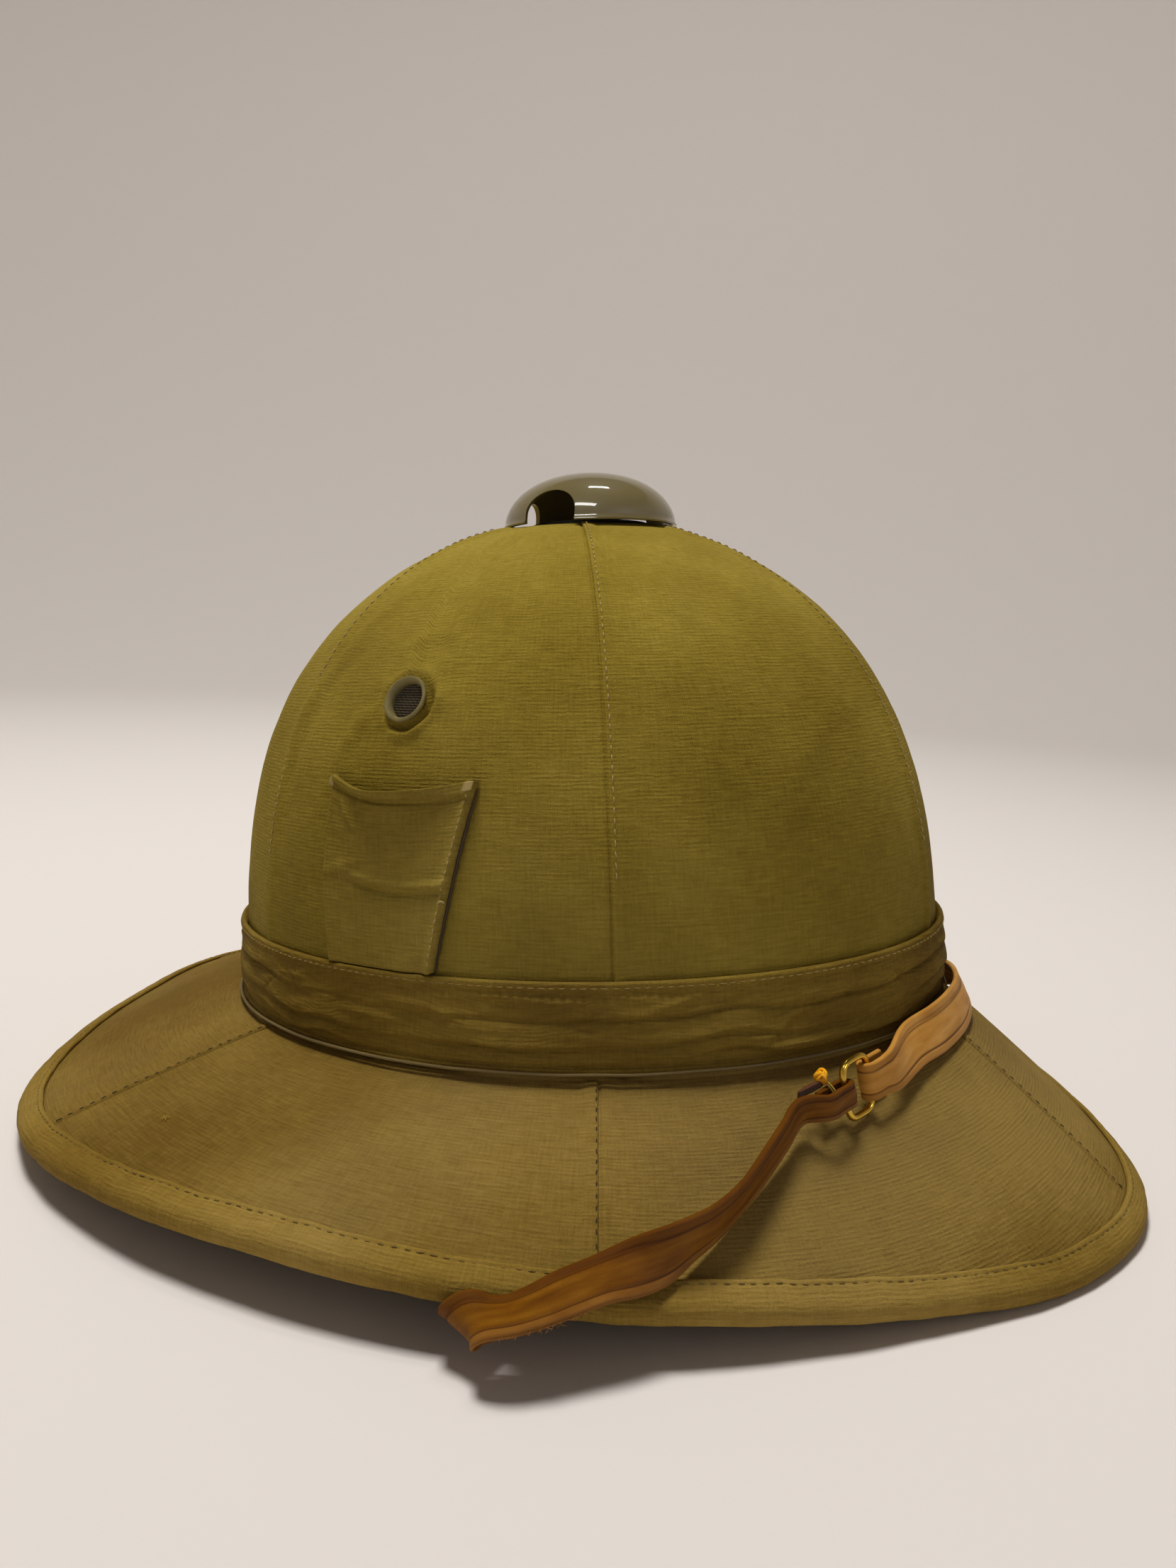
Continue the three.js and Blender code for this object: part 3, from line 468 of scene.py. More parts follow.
def stitch_row(bundle, path, normals, pitch, length, radius, ring, seed, height=0.12):
    """Adds a row of stitches to a bundle, each a short thread that dips into the cloth at both ends."""
    places, whole = run_lengths(path, ring)
    count = int(whole / pitch)
    pitch = whole / count
    rng = np.random.default_rng(seed)
    if ring:
        places = np.append(places, whole)
        path = np.vstack([path, path[:1]])
        normals = np.vstack([normals, normals[:1]])
    for index in range(count):
        middle = (index + 0.5) * pitch + rng.uniform(-0.08, 0.08) * pitch
        reach = length / 2 * rng.uniform(0.85, 1.1)
        share = np.linspace(-1, 1, 6)
        at = np.clip(middle + share * reach, 0, whole)
        centre = np.stack([np.interp(at, places, path[:, i]) for i in range(3)], 1)
        normal = unit(np.stack([np.interp(at, places, normals[:, i]) for i in range(3)], 1))
        ahead = unit(np.gradient(centre, axis=0))
        across = np.cross(normal, ahead)
        rise = height * (1 - share ** 2) - radius * 0.6 * share ** 4
        lean = rng.uniform(-0.12, 0.12) * share * reach
        bundle.add(centre + normal * rise[:, None] + across * lean[:, None], radius, sides=5)


# Materials


def material(name):
    made = bpy.data.materials.new(name)
    made.use_nodes = True
    tree = made.node_tree
    shader = next(node for node in tree.nodes if node.type == "BSDF_PRINCIPLED")
    return made, tree, shader


def feed(tree, socket, value):
    """Links a socket to another one's value, or sets a constant."""
    if isinstance(value, bpy.types.NodeSocket):
        tree.links.new(value, socket)
    else:
        socket.default_value = value


def node(tree, kind, inputs=None, **settings):
    made = tree.nodes.new(kind)
    for key, value in settings.items():
        setattr(made, key, value)
    for key, value in (inputs or {}).items():
        feed(tree, made.inputs[key], value)
    return made


def maths(tree, operation, first, second=0.0, third=0.0):
    made = node(tree, "ShaderNodeMath", operation=operation)
    for index, value in enumerate((first, second, third)):
        feed(tree, made.inputs[index], value)
    return made.outputs[0]


def times(tree, first, second):
    return maths(tree, "MULTIPLY", first, second)


def plus(tree, first, second):
    return maths(tree, "ADD", first, second)


def noise_value(tree, vector, scale, detail=2.0, roughness=0.5, stretch=(1, 1, 1)):
    mapped = node(tree, "ShaderNodeMapping", {"Vector": vector, "Scale": stretch})
    made = node(
        tree, "ShaderNodeTexNoise",
        {"Vector": mapped.outputs[0], "Scale": scale, "Detail": detail, "Roughness": roughness},
    )
    return made.outputs[0]


def ramp(tree, value, stops):
    made = node(tree, "ShaderNodeValToRGB", {"Fac": value})
    elements = made.color_ramp.elements
    while len(elements) < len(stops):
        elements.new(0.5)
    for element, (place, colour) in zip(elements, stops):
        element.position = place
        element.color = (*colour, 1)
    return made.outputs[0]


def blend(tree, share, first, second):
    made = node(tree, "ShaderNodeMix", data_type="RGBA", blend_type="MIX")
    feed(tree, made.inputs[0], share)
    for index, value in ((6, first), (7, second)):
        feed(tree, made.inputs[index], (*value, 1) if isinstance(value, tuple) else value)
    return made.outputs[2]


def linear(red, green, blue):
    """Colour on a screen, 0 to 255, as light."""
    values = np.array([red, green, blue]) / 255
    return tuple(np.where(values <= 0.04045, values / 12.92, ((values + 0.055) / 1.055) ** 2.4).tolist())


def cloth(name, light, middle, dark, dust, pitch=0.62, dirt=0.5, streak=0.3, sheen=0.05, painted_low_shade=0.0):
    """Woven cotton: crossing threads on the uv map, which is in mm, with slubs, worn patches and dirt, and
    where asked painted shade that darkens it towards the bottom.
    """
    light, middle, dark, dust = [linear(*colour) for colour in (light, middle, dark, dust)]
    made, tree, shader = material(name)
    uv = node(tree, "ShaderNodeUVMap", uv_map="UVMap").outputs[0]
    place = node(tree, "ShaderNodeTexCoord").outputs["Object"]
    split = node(tree, "ShaderNodeSeparateXYZ", {"Vector": uv})
    wobble = times(tree, noise_value(tree, uv, 0.2, 1.0), 0.6)
    across = plus(tree, split.outputs[0], wobble)
    along = plus(tree, split.outputs[1], wobble)
    turns = 2 * math.pi / pitch
    warp = maths(tree, "SINE", times(tree, across, turns))
    weft = maths(tree, "SINE", times(tree, along, turns * 0.6))
    slub = noise_value(tree, uv, 1.0, 3.0, 0.6, (0.14, 1.2, 1))
    slub_up = noise_value(tree, uv, 1.0, 3.0, 0.6, (1.3, 0.14, 1))
    grain = noise_value(tree, uv, 1.1, 3.0, 0.7)
    weave = plus(tree, times(tree, warp, 0.25), times(tree, weft, 0.4))
    for value, weight in ((slub, 4.2), (slub_up, 2.6), (grain, 4.0)):
        weave = plus(tree, weave, times(tree, maths(tree, "SUBTRACT", value, 0.5), weight))
    patch = noise_value(tree, place, 11.0, 3.0, 0.5)
    fleck = plus(tree, times(tree, slub, 0.6), times(tree, slub_up, 0.4))
    tone = plus(tree, times(tree, fleck, streak), times(tree, patch, 1 - streak))
    colour = ramp(tree, tone, [(0.38, dark), (0.5, middle), (0.62, light)])
    worn = ramp(tree, noise_value(tree, place, 13.0, 4.0, 0.6), [(0.5, (0, 0, 0)), (0.74, (1, 1, 1))])
    colour = blend(tree, times(tree, worn, dirt), colour, dust)
    thread = maths(tree, "MULTIPLY_ADD", weave, 0.055, 1.0)
    # Painted shade: the colour darkens towards the bottom, standing in for the lower crown getting less of
    # the overhead light.
    if painted_low_shade:
        height = node(tree, "ShaderNodeSeparateXYZ", {"Vector": place}).outputs[2]
        rise = node(
            tree, "ShaderNodeMapRange",
            {"Value": height, "From Min": 0.06, "From Max": 0.15, "To Min": 1 - painted_low_shade, "To Max": 1.0},
        ).outputs[0]
        thread = times(tree, thread, rise)
    combined = node(tree, "ShaderNodeVectorMath", operation="SCALE")
    tree.links.new(colour, combined.inputs[0])
    tree.links.new(thread, combined.inputs["Scale"])
    tree.links.new(combined.outputs[0], shader.inputs["Base Color"])
    relief = node(tree, "ShaderNodeBump", {"Height": weave, "Strength": 0.6, "Distance": 0.00012})
    tree.links.new(relief.outputs[0], shader.inputs["Normal"])
    rough = maths(tree, "MULTIPLY_ADD", patch, 0.12, 0.82)
    tree.links.new(rough, shader.inputs["Roughness"])
    shader.inputs["Specular IOR Level"].default_value = 0.06
    shader.inputs["Sheen Weight"].default_value = sheen
    shader.inputs["Sheen Roughness"].default_value = 0.4
    shader.inputs["Sheen Tint"].default_value = (*light, 1)
    return made


def plain(name, colour, roughness, metallic=0.0, bump_size=0.0, bump_scale=900.0, vary=0.15, coat=0.0):
    made, tree, shader = material(name)
    place = node(tree, "ShaderNodeTexCoord").outputs["Object"]
    tone = noise_value(tree, place, bump_scale * 0.35, 3.0, 0.6)
    shade = maths(tree, "MULTIPLY_ADD", tone, 2 * vary, 1 - vary)
    scaled = node(tree, "ShaderNodeVectorMath", operation="SCALE")
    scaled.inputs[0].default_value = linear(*colour)
    tree.links.new(shade, scaled.inputs["Scale"])
    tree.links.new(scaled.outputs[0], shader.inputs["Base Color"])
    rough = maths(tree, "MULTIPLY_ADD", tone, 0.2, roughness - 0.1)
    tree.links.new(rough, shader.inputs["Roughness"])
    shader.inputs["Metallic"].default_value = metallic
    shader.inputs["Coat Weight"].default_value = coat
    shader.inputs["Coat Roughness"].default_value = 0.06
    shader.inputs["Coat IOR"].default_value = 1.7
    if bump_size:
        fine = noise_value(tree, place, bump_scale, 2.0, 0.6)
        relief = node(tree, "ShaderNodeBump", {"Height": fine, "Strength": 0.4, "Distance": bump_size})
        tree.links.new(relief.outputs[0], shader.inputs["Normal"])
    return made


def leather(name, dark, middle, light, upper_share):
    """Tan strap leather: creased grain, darker along its edges and where it has been handled."""
    dark, middle, light = [linear(*colour) for colour in (dark, middle, light)]
    made, tree, shader = material(name)
    uv = node(tree, "ShaderNodeUVMap", uv_map="UVMap").outputs[0]
    place = node(tree, "ShaderNodeTexCoord").outputs["Object"]
    split = node(tree, "ShaderNodeSeparateXYZ", {"Vector": uv})
    grain = noise_value(tree, uv, 3.2, 3.0, 0.6)
    streaks = noise_value(tree, uv, 0.35, 3.0, 0.5, (0.15, 1.0, 1))
    tone = plus(tree, times(tree, streaks, 0.75), times(tree, grain, 0.25))
    colour = ramp(tree, tone, [(0.34, dark), (0.5, middle), (0.66, light)])
    level = maths(tree, "MULTIPLY_ADD", split.outputs[1], 1 / STRAP_WIDTH, 0.5)
    upper = ramp(tree, level, [(0.72, (0, 0, 0)), (0.82, (1, 1, 1))])
    colour = blend(tree, times(tree, upper, upper_share), colour, linear(84, 44, 8))
    lower = ramp(tree, level, [(0.16, (1, 1, 1)), (0.24, (0, 0, 0))])
    colour = blend(tree, times(tree, lower, 0.5), colour, linear(140, 96, 44))
    for crease in (0.19, 0.77):
        away = maths(tree, "ABSOLUTE", maths(tree, "SUBTRACT", level, crease))
        line = ramp(tree, away, [(0.004, (1, 1, 1)), (0.03, (0, 0, 0))])
        colour = blend(tree, times(tree, line, 0.75), colour, linear(66, 32, 6))
    wear = ramp(tree, noise_value(tree, place, 60.0, 3.0, 0.6), [(0.5, (0, 0, 0)), (0.7, (1, 1, 1))])
    colour = blend(tree, times(tree, wear, 0.45), colour, dark)
    tree.links.new(colour, shader.inputs["Base Color"])
    relief = node(tree, "ShaderNodeBump", {"Height": grain, "Strength": 0.3, "Distance": 0.0001})
    tree.links.new(relief.outputs[0], shader.inputs["Normal"])
    rough = maths(tree, "MULTIPLY_ADD", grain, 0.25, 0.45)
    tree.links.new(rough, shader.inputs["Roughness"])
    shader.inputs["Specular IOR Level"].default_value = 0.12
    return made


def thread(name, colour, bump_scale=3000.0):
    return plain(name, colour, 0.8, bump_size=0.00005, bump_scale=bump_scale)


# Colours are as on a screen, from 0 to 255
# The crown's cloth carries painted shade towards its lower part.
CROWN_CLOTH = cloth(
    "crown_cloth", (168, 148, 64), (148, 128, 48), (126, 106, 33), (118, 97, 41), dirt=0.45, painted_low_shade=0.24
)
BRIM_CLOTH = cloth("brim_cloth", (145, 120, 61), (128, 103, 46), (106, 82, 31), (107, 88, 53))
BAND_CLOTH = cloth("band_cloth", (142, 119, 50), (121, 98, 37), (96, 74, 22), (98, 76, 38))
TAPE_CLOTH = cloth("binding_cloth", (156, 130, 66), (140, 114, 50), (120, 94, 36), (118, 94, 50), dirt=0.35)
POCKET_CLOTH = cloth("pocket_cloth", (156, 137, 66), (138, 119, 50), (118, 99, 34), (114, 94, 44), dirt=0.35)
SEAM_THREAD = thread("seam_thread", (104, 84, 34), 4000.0)
# Dark thread for the brim's seam stitches, also used as painted shadow along the pocket's right edge.
DARK_THREAD_AND_PAINTED_SHADOW = thread("dark_thread_and_painted_shadow", (64, 48, 20), 4000.0)
KNOT_THREAD = plain("knot_thread", (246, 176, 14), 0.7, bump_size=0.0001, bump_scale=3000.0)
LOOSE_THREAD = thread("loose_thread", (178, 148, 52))
FIBRE = thread("leather_fibre", (128, 84, 26))
PALE_THREAD = thread("pale_thread", (176, 154, 98))
HEM_THREAD = thread("hem_thread", (138, 116, 60))
PIPING_CLOTH = plain("piping_cloth", (122, 104, 60), 0.85, bump_size=0.0001, bump_scale=2500.0)
TAIL_LEATHER = plain("tail_leather", (92, 50, 14), 0.6, bump_size=0.0001, bump_scale=1500.0)
CAP_PAINT = plain(
    "cap_paint", (112, 100, 58), 0.5, coat=1.0, bump_size=0.00001, bump_scale=300.0, vary=0.06
)
VENT_METAL = plain("vent_metal", (132, 120, 74), 0.6, 0.3, 0.00006, 1200.0, 0.35)
GAUZE_WIRE = plain("gauze_wire", (86, 76, 58), 0.65, 0.2, 0.00003, 2000.0, 0.3)
BRASS = plain("buckle_brass", (206, 170, 66), 0.25, 1.0, 0.00003, 900.0, 0.2)
# Near-black painted shade for the vent collar, seen through the cap's openings where its inside lies in
# shade.
PAINTED_SHADE_INSIDE = plain("painted_shade_inside", (40, 36, 26), 0.7, 0.2, 0.00003, 900.0, 0.2)
# Lit and shaded copies of one leather: the near strap's colours are darkened as painted shade and the front
# strap's are lightened as painted light.
PAINTED_SHADE_LEATHER = leather("strap_leather", (90, 50, 6), (114, 70, 8), (134, 88, 18), 0.55)
PAINTED_LIGHT_LEATHER = leather("front_strap_painted_light_leather", (176, 120, 44), (200, 144, 62), (214, 160, 84), 0.12)


# Crown


def seam_profile(distance, side):
    """Height of a lapped, top-stitched seam at a signed distance in mm; side is where the lap lies."""
    lap = distance * side
    raised = 0.75 * smooth((lap + 0.15) / 0.4) * (1 - smooth((lap - 2.2) / 2.2))
    groove = -0.4 * gauss((distance + 0.2 * side) / 0.42)
    soft = 0.22 * gauss((lap + 1.8) / 1.6)
    row = -0.1 * gauss((lap - 2.3) / 0.45)
    return raised + groove + soft + row


def seam_distance(angle, radius):
    """Signed distance in mm to the nearest panel seam, and that seam's number."""
    step = 360 / PANELS
    number = np.round(angle / step)
    return rad(angle - number * step) * radius, number.astype(int) % PANELS


def spaced_angles(count, extra):
    """Side angles all round, closer together at the panel seams."""
    base = np.arange(count) / count * 360
    beside = []
    for seam in range(PANELS):
        beside.extend(seam * 360 / PANELS + extra)
    everything = np.concatenate([base, (np.array(beside) + 360) % 360])
    everything = np.sort(everything)
    keep = np.append(True, np.diff(everything) > 0.06)
    return everything[keep]


SEAM_EXTRA = np.array([-1.6, -1.2, -0.9, -0.6, -0.4, -0.25, -0.12, 0, 0.12, 0.25, 0.4, 0.6, 0.9, 1.2, 1.6])


def crown_outer(angles, arcs):
    """Grid of the crown's outer face before any displacement, in its own frame."""
    angle, arc = np.meshgrid(angles, arcs, indexing="ij")
    share = cosd(arc)
    height = CROWN_HEIGHT * sind(arc) ** (2 / FULLNESS)
    height = np.minimum(height, CROWN_HEIGHT - CROWN_FLAT)
    x = CROWN_LENGTH * share * cosd(angle)
    y = -CROWN_WIDTH * share * sind(angle)
    return np.stack([x, y, height], -1)


def crown_relief(points, angle, weight):
    """Height of the cloth over the shell: seams, puckers and the dent round the side vents."""
    radius = np.hypot(points[..., 0], points[..., 1])
    distance, number = seam_distance(angle, radius)
    side = np.where((number >= 1) & (number <= 3), -1, 1)
    fade = smooth((radius - 16) / 18)
    relief = seam_profile(distance, side) * fade
    relief += 0.28 * noise(points * [1, 1, 0.6], 26, 3) + 0.14 * noise(points, 9, 4)
    relief += 0.05 * noise(points, 3.5, 5)
    for mirrored in (1, -1):
        centre = dome_point(np.array(mirrored * VENT_ANGLE), np.array(VENT_HEIGHT))
        away = points - centre
        far = np.linalg.norm(away, axis=-1)
        relief += 0.55 * gauss((far - 9.2) / 1.5) - 0.35 * gauss(far / 5.5)
        around = np.arctan2(away[..., 2], away[..., 0])
        relief += 0.3 * np.sin(around * 7 + 1.3) * bump((far - 12) / 7)
        below = smooth((cos(around + rad(48)) - 0.1) / 0.7)
        relief -= 2.4 * below * gauss((far - 7.6) / 1.1)
        relief += 0.5 * below * gauss((far - 10.2) / 1.0)
    relief += crown_creases(points)
    return relief * weight


# Creases of the crown's cloth on the right side: x and height of the middle, direction, length, width, depth
CREASES = [
    (-30.0, 118.0, 35, 16, 1.9, 0.5),
    (-24.0, 124.0, 25, 14, 1.6, 0.4),
    (-37.0, 108.0, 50, 20, 2.4, 0.5),
    (-22.5, 86.0, 58, 16, 2.2, 0.7),
    (-46.0, 96.0, 60, 24, 2.6, 0.5),
    (-52.0, 84.0, 75, 26, 2.8, 0.45),
    (-4.0, 112.0, 10, 14, 1.8, 0.3),
    (26.0, 121.0, -55, 18, 2.4, 0.35),
    (70.0, 60.0, -70, 26, 3.0, 0.4),
    (82.0, 44.0, -60, 22, 2.6, 0.45),
    (92.0, 78.0, 80, 24, 3.0, 0.35),
]


def crown_creases(points):
    total = np.zeros(points.shape[:-1])
    near = (points[..., 1] < 0).astype(float)
    for x, height, way, length, width, depth in CREASES:
        dx = points[..., 0] - x
        dz = points[..., 2] - height
        along = dx * cosd(way) + dz * sind(way)
        across = -dx * sind(way) + dz * cosd(way)
        bend = across + along ** 2 / (3.2 * length)
        ridge = gauss(bend / width) - 0.6 * gauss((bend + 1.6 * width) / width)
        total += near * depth * bump(along / length) * ridge
    return total


def make_crown():
    fine = np.arange(VENT_ANGLE - 7, VENT_ANGLE + 7, 0.5)
    angles = np.sort(np.concatenate([spaced_angles(360, SEAM_EXTRA), fine % 360, -fine % 360]))
    angles = angles[np.append(True, np.diff(angles) > 0.12)]
    arcs = np.linspace(0.25, 80, 118)
    arcs = np.concatenate([arcs[arcs < 27], np.linspace(27.2, 36, 26), arcs[arcs > 36.5]])
    outer = crown_outer(angles, arcs)
    hole = np.stack([CAP_FORWARD + COLLAR_RADIUS * cosd(angles), -COLLAR_RADIUS * sind(angles)], -1)
    top_rows = []
    for share in (0.25, 0.5, 0.75, 1.0):
        flat = outer[:, -1, :2] * (1 - share) + hole * share
        top_rows.append(np.concatenate([flat, dome_top(flat[:, 0], flat[:, 1], 0)[:, None]], 1))
    outer = np.concatenate([outer, np.stack(top_rows, 1)], 1)
    angle = np.broadcast_to(angles[:, None], outer.shape[:2])
    normals = grid_normals(outer, True)
    if (normals[..., :2] * outer[..., :2]).sum() < 0:
        normals = -normals
    relief = crown_relief(outer, angle, smooth(outer[..., 2] / 6))
    outer = outer + normals * relief[..., None]
    top = CROWN_HEIGHT - SHELL
    inner_rows = [np.concatenate([hole, dome_top(hole[:, 0], hole[:, 1], SHELL)[:, None]], 1)]
    for arc in (76, 68, 60, 52, 44, 36, 28, 20, 13, 7, 3, 0.3):
        height = min(top * sind(arc) ** (2 / FULLNESS), top - CROWN_FLAT)
        x = (CROWN_LENGTH - SHELL) * cosd(arc) * cosd(angles)
        y = -(CROWN_WIDTH - SHELL) * cosd(arc) * sind(angles)
        inner_rows.append(np.stack([x, y, np.full(len(angles), height)], 1))
    grid = np.concatenate([outer, np.stack(inner_rows, 1)], 1)
    uv = closed_uv(grid, np.append(rad(angles), 2 * math.pi) * (CROWN_LENGTH + CROWN_WIDTH) / 2, SHELL)
    crown = grid_object("crown_cover", stood(grid), CROWN_CLOTH, ring=True, tube=True, uv=uv)
    cut_vent_holes(crown)
    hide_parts("crown")

    bundle = Bundle()
    for seam in range(PANELS):
        side = -1 if 1 <= seam <= 3 else 1
        heights = CROWN_HEIGHT * sind(np.linspace(12, 74, 200)) ** (2 / FULLNESS)
        middle = dome_point(np.full(200, seam * 60.0), heights)
        radius = np.hypot(middle[:, 0], middle[:, 1])
        angle = seam * 60.0 + side * np.degrees(1.2 / radius)
        path = dome_point(angle, heights)
        normals = dome_normal(angle, heights)
        lift = 0.8 + 0.28 * noise(path * [1, 1, 0.6], 26, 3) + 0.14 * noise(path, 9, 4)
        path = path + normals * lift[:, None]
        stitch_row(bundle, stood(path), turned_up(normals), 2.7, 1.8, 0.2, False, 20 + seam, height=0.25)
    bundle.build("crown_seam_stitches", PALE_THREAD)


def vent_seat(side):
    """Place and outward direction of a side vent."""
    angle, height = np.array(side * VENT_ANGLE), np.array(VENT_HEIGHT)
    return stood(dome_point(angle, height)), turned_up(dome_normal(angle, height))


def cut_vent_holes(crown):
    """Opens the crown's wall for the two side vents."""
    spread = np.arange(48) / 48 * 2 * math.pi
    circle = VENT_HOLE * np.stack([cos(spread), sin(spread), np.zeros(48)], 1)
    for side in (1, -1):
        place, way = vent_seat(side)
        cut_prism(crown, *[aimed(circle + [0, 0, depth], way, place) for depth in (-9.0, 9.0)])


# Hat band

BAND_FOLDS = [
    (0.8, 0.74, 0.78, 0.2, 0.8),
    (0.56, 0.46, 0.56, 0.24, 1.35),
    (0.32, 0.24, 0.34, 0.18, 1.0),
]


def band_relief(angle, share, points):
    """Height of the band's pleats, crumples and stitched upper hem."""
    turn = (1 - cosd(2 * angle)) / 2
    front = cosd(angle) > 0
    total = np.zeros_like(share)
    wander = 0.06 * noise(points * [1, 1, 0], 34, 11) + 0.03 * noise(points * [1, 1, 0], 12, 12)
    for number, (fore, side, back, half, height) in enumerate(BAND_FOLDS):
        middle = lerp(np.where(front, fore, back), side, turn) + wander * (1 + number * 0.4)
        away = (share - middle) / half
        strength = np.clip(0.8 + 0.9 * noise(points * [1, 1, 0], 32, 14 + number), 0.1, 1.5)
        crest = smooth((1 - away) / 1.5) * smooth((away + 0.62) / 0.16)
        shadow = -0.6 * gauss((away + 0.66) / 0.12)
        total += (height * BAND_FOLD_DEPTH * crest + shadow) * strength
    rng = np.random.default_rng(77)
    for _ in range(150):
        centre_angle = rng.uniform(0, 360)
        centre_share = rng.uniform(0.12, 0.84)
        length = rng.uniform(5, 26) * 0.53
        width = rng.uniform(0.028, 0.07)
        slope = rng.normal(0, 0.006)
        depth = rng.uniform(0.2, 0.65) * rng.choice([1, 1, -1])
        if rng.uniform() < 0.25:
            slope = rng.normal(0, 0.03)
            length = length * 0.5
        gap = (angle - centre_angle + 540) % 360 - 180
        across = share - centre_share - slope * gap
        total += depth * bump(gap / length) * gauss(across / width)
    total = total * smooth((share - 0.075) / 0.1) * smooth((0.97 - share) / 0.08)
    hem = 0.45 * smooth((share - 0.9 - 0.006 * noise(points * [1, 1, 0], 7, 17)) / 0.014)
    pucker = 0.1 * np.sin(rad(angle) * 250 + 3 * noise(points, 12, 15)) * bump((share - 0.905) / 0.05)
    return total + hem + pucker + 0.06 * noise(points, 3, 16)


def make_band():
    count = 1080
    angles = np.arange(count) / count * 360
    spans = ((0.0, 0.14, 14), (0.155, 0.88, 52), (0.89, 1.0, 12))
    shares = np.concatenate([np.linspace(*span) for span in spans])
    angle, share = np.meshgrid(angles, shares, indexing="ij")
    height = lerp(0.6, BAND_HEIGHT, share)
    flat = dome_point(angle, height)
    pipe = 0.5 * np.sqrt(np.clip(1 - ((share - 0.045) / 0.045) ** 2, 0, 1)) * (share < 0.09)
    notch = -0.7 * gauss((share - 0.1) / 0.016)
    folds = band_relief(angle, share, flat)
    round_top = -0.5 * smooth((share - 0.975) / 0.025) ** 2
    outer = dome_point(angle, height, BAND_INNER + BAND_THICKNESS * 0.8 + pipe + notch + folds + round_top)
    inner_heights = (BAND_HEIGHT, BAND_HEIGHT * 0.5, 0.6)
    inner = np.stack([dome_point(angles, np.full(count, h), BAND_INNER) for h in inner_heights], 1)
    grid = np.concatenate([outer, inner], 1)
    uv = closed_uv(grid, np.append(rad(angles), 2 * math.pi) * 110, 1)
    band = grid_object("pleated_band", stood(grid), BAND_CLOTH, ring=True, tube=True, uv=uv)
    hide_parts("hat_band")

    bundle = Bundle()
    row = int(np.argmin(np.abs(shares - 0.935)))
    path = stood(outer[:, row])
    normals = unit(path * [1, 1, 0])
    stitch_row(bundle, path, normals, 2.7, 1.9, 0.2, True, 31, height=0.14)
    bundle.build("band_stitches", HEM_THREAD)
    piping = Bundle()
    rim = dome_point(angles[::3], np.full(count // 3, 1.5), BAND_INNER + BAND_THICKNESS + 1.1)
    piping.add(stood(rim + 0.15 * noise(rim, 9, 18)[:, None] * [0, 0, 1]), 0.48, sides=8, ring=True)
    piping.build("band_piping", PIPING_CLOTH)


# Brim


def brim_relief(angle, share, points):
    distance, number = seam_distance(angle, np.hypot(points[..., 0], points[..., 1]))
    side = np.where((number >= 1) & (number <= 3), 1, -1)
    relief = 0.85 * seam_profile(distance, side)
    relief += 0.35 * noise(points, 38, 41) + 0.12 * noise(points, 12, 42) + 0.05 * noise(points, 4, 43)
    return relief * smooth(share / 0.05) * smooth((1 - share) / 0.06)


def make_brim():
    angles = spaced_angles(450, SEAM_EXTRA * 0.75)
    length = brim_line(angles)[3]
    binding_start = 1 - (BINDING_TOP + CLEARANCE) / length
    shares = np.concatenate([np.linspace(0.0, 0.94, 56), np.linspace(0.95, 1.0, 6)])
    upper = np.stack([brim_point(angles, share * binding_start, 0) for share in shares], 1)
    normals = grid_normals(upper, True)
    if normals[..., 2].sum() < 0:
        normals = -normals
    angle, share = np.meshgrid(angles, shares, indexing="ij")
    upper = upper + normals * brim_relief(angle, share, upper)[..., None]
    edge = ((1, 0), (1 + 1.4 / length, -SHELL / 2), (1, -SHELL))
    rows = [brim_point(angles, out, lift) for out, lift in edge]
    rows += [brim_point(angles, share * binding_start, -SHELL) for share in np.linspace(0.97, 0.03, 20)]
    radius, height = base_point(angles, SHELL)
    for drop in (SHELL, 0):
        rows.append(np.stack([radius * cosd(angles), -radius * sind(angles), height - drop], -1))
    grid = np.concatenate([upper, np.stack(rows, 1)], 1)
    uv = closed_uv(grid, np.append(rad(angles), 2 * math.pi) * 140, SHELL)
    brim = grid_object("brim_cover", grid, BRIM_CLOTH, ring=True, tube=True, uv=uv)
    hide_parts("brim")

    bundle = Bundle()
    for seam in range(PANELS):
        side = 1 if 1 <= seam <= 3 else -1
        out = np.linspace(0.05, 0.93, 120)
        middle = brim_point(np.full(120, seam * 60.0), out, 0)
        radius = np.hypot(middle[:, 0], middle[:, 1])
        angle = seam * 60.0 + side * np.degrees(0.5 / radius)
        path = brim_point(angle, out, 0.55)
        normals = unit(brim_point(angle, out, 1.3) - path)
        path = path + normals * (0.35 * noise(path, 38, 41) + 0.12 * noise(path, 12, 42))[:, None]
        stitch_row(bundle, path, normals, 3.0, 1.7, 0.2, False, 50 + seam)
    bundle.build("brim_seam_stitches", DARK_THREAD_AND_PAINTED_SHADOW)


